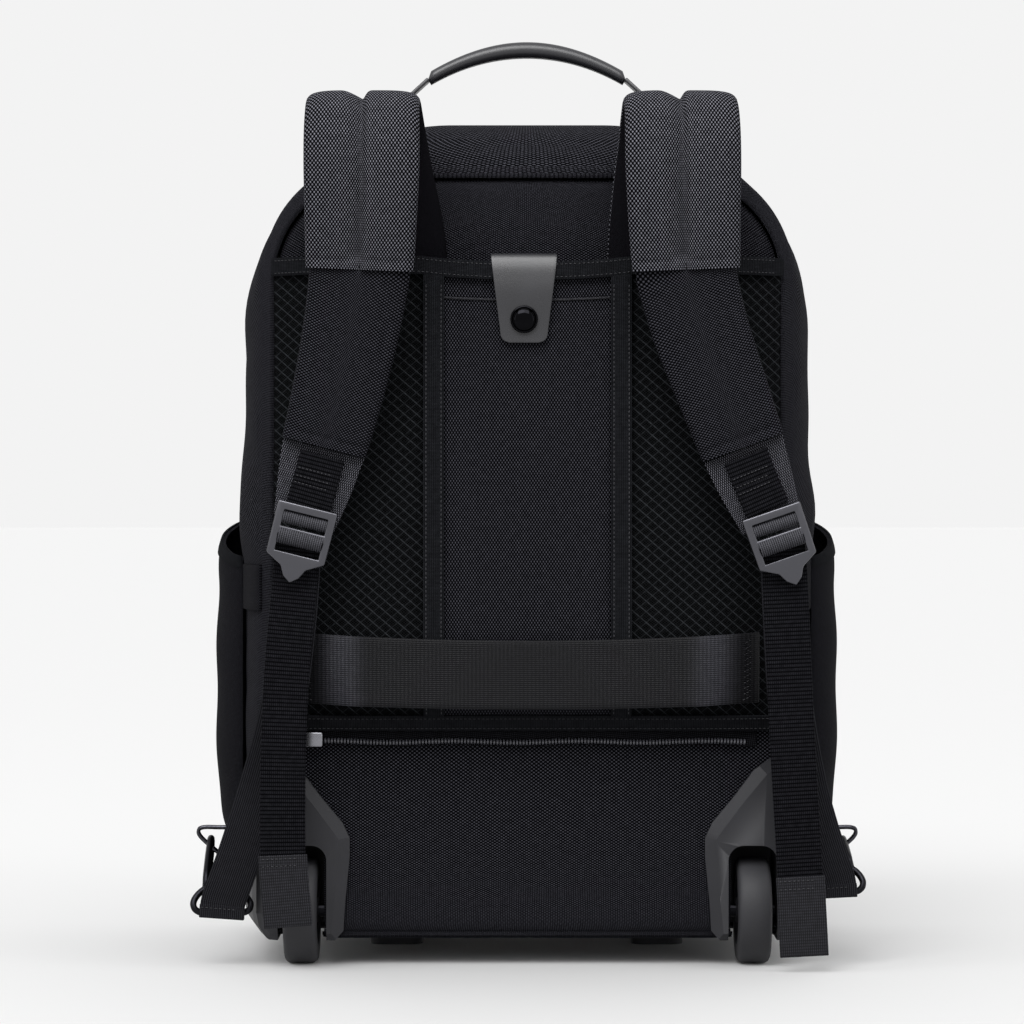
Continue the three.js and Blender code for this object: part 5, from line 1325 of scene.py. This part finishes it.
# Side pockets: a bellied wall of plain nylon sewn to each side, its mouth bound with tape. A tab
# of nylon holds its rear edge to the body.
POCKET_REAR, POCKET_FRONT, POCKET_LOW, POCKET_HIGH, POCKET_BULGE = 54, 150, 58, 257, 16.5
POCKET_REAR_DROP = 22  # how much lower the mouth is at its rear end
POCKET_ROWS = [(0, 0.02), (0.05, 0.6), (0.14, 0.88), (0.4, 1), (0.7, 0.97), (0.88, 0.84),
               (0.96, 0.66), (1, 0.5)]

# Packcloth: a lighter plain-woven nylon, coated inside, with a fine dull weave
packcloth = woven("packcloth_nylon", "#020203", "#2E2E33", 0.8, 0.6, 0.75)

for side, sign in SIDES.items():

    def pocket_spot(u, v):
        share = 0.5 - 0.5 * math.cos(math.pi * u)
        y = POCKET_REAR + share * (POCKET_FRONT - POCKET_REAR)
        if sign < 0:
            y = POCKET_FRONT - share * (POCKET_FRONT - POCKET_REAR)
        belly = max(math.sin(math.pi * share), 0) ** 0.55
        bulge = read(POCKET_ROWS, 1, v) * POCKET_BULGE
        x = body_section(y)[0] + 2.5 + bulge * belly + 0.85 * side_bulge(
            POCKET_LOW + v * (POCKET_HIGH - POCKET_LOW)) * belly
        crease = 0.6 * math.sin(v * 19 + u * 3) * math.sin(math.pi * share)
        rearward = (POCKET_FRONT - y) / (POCKET_FRONT - POCKET_REAR)
        z = POCKET_LOW + v * (POCKET_HIGH - POCKET_LOW) - POCKET_REAR_DROP * rearward * v ** 2
        return at(sign * (x + crease), y, z)

    pocket = lay_grid(f"side_pocket_wall_{side}", 44, 60, pocket_spot, 130, 199)
    shape(pocket, ("SOLIDIFY", {"thickness": 0.0023, "offset": -1}),
          ("BEVEL", {"width": 0.0006, "segments": 2, "limit_method": "ANGLE"}))
    settle(pocket, packcloth, "smooth_fabric", f"side_pocket_{side}")

    def mouth_spot(u, v):
        rim = pocket_spot(u, 1 - 0.045 * v)
        return rim + Vector((sign * 0.0009, 0, 0.0008))

    mouth = lay_grid(f"side_pocket_binding_{side}", 44, 3,
                     lambda u, v: mouth_spot(u, 1 - v), 130, 9)
    shape(mouth, ("SOLIDIFY", {"thickness": 0.0012, "offset": -1}))
    settle(mouth, grosgrain, "webbing")

    def tab_spot(u, v):
        y = 4 + (u if sign > 0 else 1 - u) * 49.6
        return at(sign * (body_section(y)[0] + 2.5), y, 204 + 27 * v)

    side_tab = lay_grid(f"side_tab_cloth_{side}", 16, 8, tab_spot, 50, 27)
    shape(side_tab, ("SOLIDIFY", {"thickness": 0.0022, "offset": -1}),
          ("BEVEL", {"width": 0.0005, "segments": 2, "limit_method": "ANGLE"}))
    settle(side_tab, packcloth, "smooth_fabric", f"side_tab_{side}")


# Carry handle: a strip of leather rolled round a core and sewn along the top, held to the body
# by a split leather strip at each end.
GRIP_DEPTH, GRIP_HALF, GRIP_CROWN, GRIP_RISE, GRIP_RADIUS = 70, 59, 542, 18, 5.2


def grip_axis(across):
    return Vector((across * (GRIP_HALF + 1), GRIP_DEPTH, GRIP_CROWN - GRIP_RISE * across ** 2))


def grip_spot(u, v):
    across = 2 * v - 1
    turn = -math.tau * u
    end = min(v, 1 - v) * 2 * GRIP_HALF
    roll = math.sqrt(max(1 - max(1 - end / 1.8, 0) ** 2, 0)) * (0.93 + 0.07 * math.cos(across * 3))
    ridge = 0.9 * math.exp(-((math.sin(turn / 2 + 0.5) / 0.12) ** 2))
    radius = (GRIP_RADIUS - 0.4 + ridge) * roll
    return at(*(grip_axis(across) + Vector((0, math.cos(turn) * radius, math.sin(turn) * radius))))


grip = lay_grid("rolled_leather_grip", 36, 60, grip_spot, 32, 120, weld=True)
settle(grip, black_leather, "leather", "carry_grip", smooth=180)
for side in SIDES:
    strip = refined(f"handle_strip_{side}", f"handle_leather_strip_{side}")
    shape(strip, ("BEVEL", {"width": 0.0006, "segments": 2, "limit_method": "ANGLE"}))
    settle(strip, black_leather, "leather", f"handle_strip_{side}")


# Wheel housings: a moulded corner at each side, screwed through the cloth, with a broad chamfer
# round its face and a well for the wheel.
HOUSING_PROUD, CHAMFER_WIDTH, CHAMFER_DEPTH = 6, 6.2, 2.8
# The face's upper and inner edge: out from the middle, and height
HOUSING_RIM = [(142.4, 118), (132.7, 111.1), (121.1, 95.6), (108.3, 80.2), (104, 71.1),
               (104, 60.5), (106.7, 32.8), (107.7, 16.8)]

for side, sign in SIDES.items():
    housing = refined(f"wheel_housing_{side}", f"moulded_wheel_housing_{side}", dissolve=0)
    for start, end in zip(HOUSING_RIM, HOUSING_RIM[1:]):
        run = Vector((end[0] - start[0], 0, end[1] - start[1])).normalized()
        edge = at(sign * start[0], CHAMFER_DEPTH - HOUSING_PROUD, start[1])
        away = Vector((sign * run.z * CHAMFER_DEPTH, -CHAMFER_WIDTH,
                       -run.x * CHAMFER_DEPTH)).normalized()
        bpy.ops.object.mode_set(mode="EDIT")
        bpy.ops.mesh.select_all(action="SELECT")
        bpy.ops.mesh.bisect(plane_co=edge, plane_no=away)
        bpy.ops.object.mode_set(mode="OBJECT")
        # What stands out past the chamfer is pressed back onto it
        for point in housing.data.vertices:
            past = (point.co - edge).dot(away)
            if past > 0:
                point.co.y -= past / away.y
    bpy.ops.object.mode_set(mode="EDIT")
    bpy.ops.mesh.select_all(action="SELECT")
    bpy.ops.mesh.remove_doubles(threshold=0.00005)
    bpy.ops.mesh.dissolve_limited(angle_limit=math.radians(0.4))
    bpy.ops.object.mode_set(mode="OBJECT")
    shape(housing, ("BEVEL", {"width": 0.0007, "segments": 2, "limit_method": "ANGLE",
                              "angle_limit": math.radians(18)}))
    settle(housing, black_plastic, "moulded_plastic", f"wheel_housing_{side}", smooth=18)

# Wheels: a polyurethane tyre moulded on a plastic hub, on a steel axle through the housing
# Polyurethane, cast: dull dark grey, dusty from the floor
cast_tyre = moulded("cast_polyurethane", "#242427", "#2D2D30", 0.6, 1.2, 0.35)
for side in SIDES:
    tyre = refined(f"tyre_{side}", f"polyurethane_tyre_{side}", dissolve=0)
    shape(tyre, ("BEVEL", {"width": 0.0006, "segments": 2, "limit_method": "ANGLE"}))
    settle(tyre, cast_tyre, "rubber", f"tyre_{side}", body=f"wheel_{side}")
    hub = refined(f"hub_{side}", f"plastic_hub_{side}", dissolve=0)
    settle(hub, black_plastic, "moulded_plastic", f"hub_{side}", body=f"wheel_{side}")
    for node, material in ((f"axle_{side}", black_steel), (f"foot_{side}", black_plastic)):
        nodes[node].data.materials.clear()
        nodes[node].data.materials.append(material)
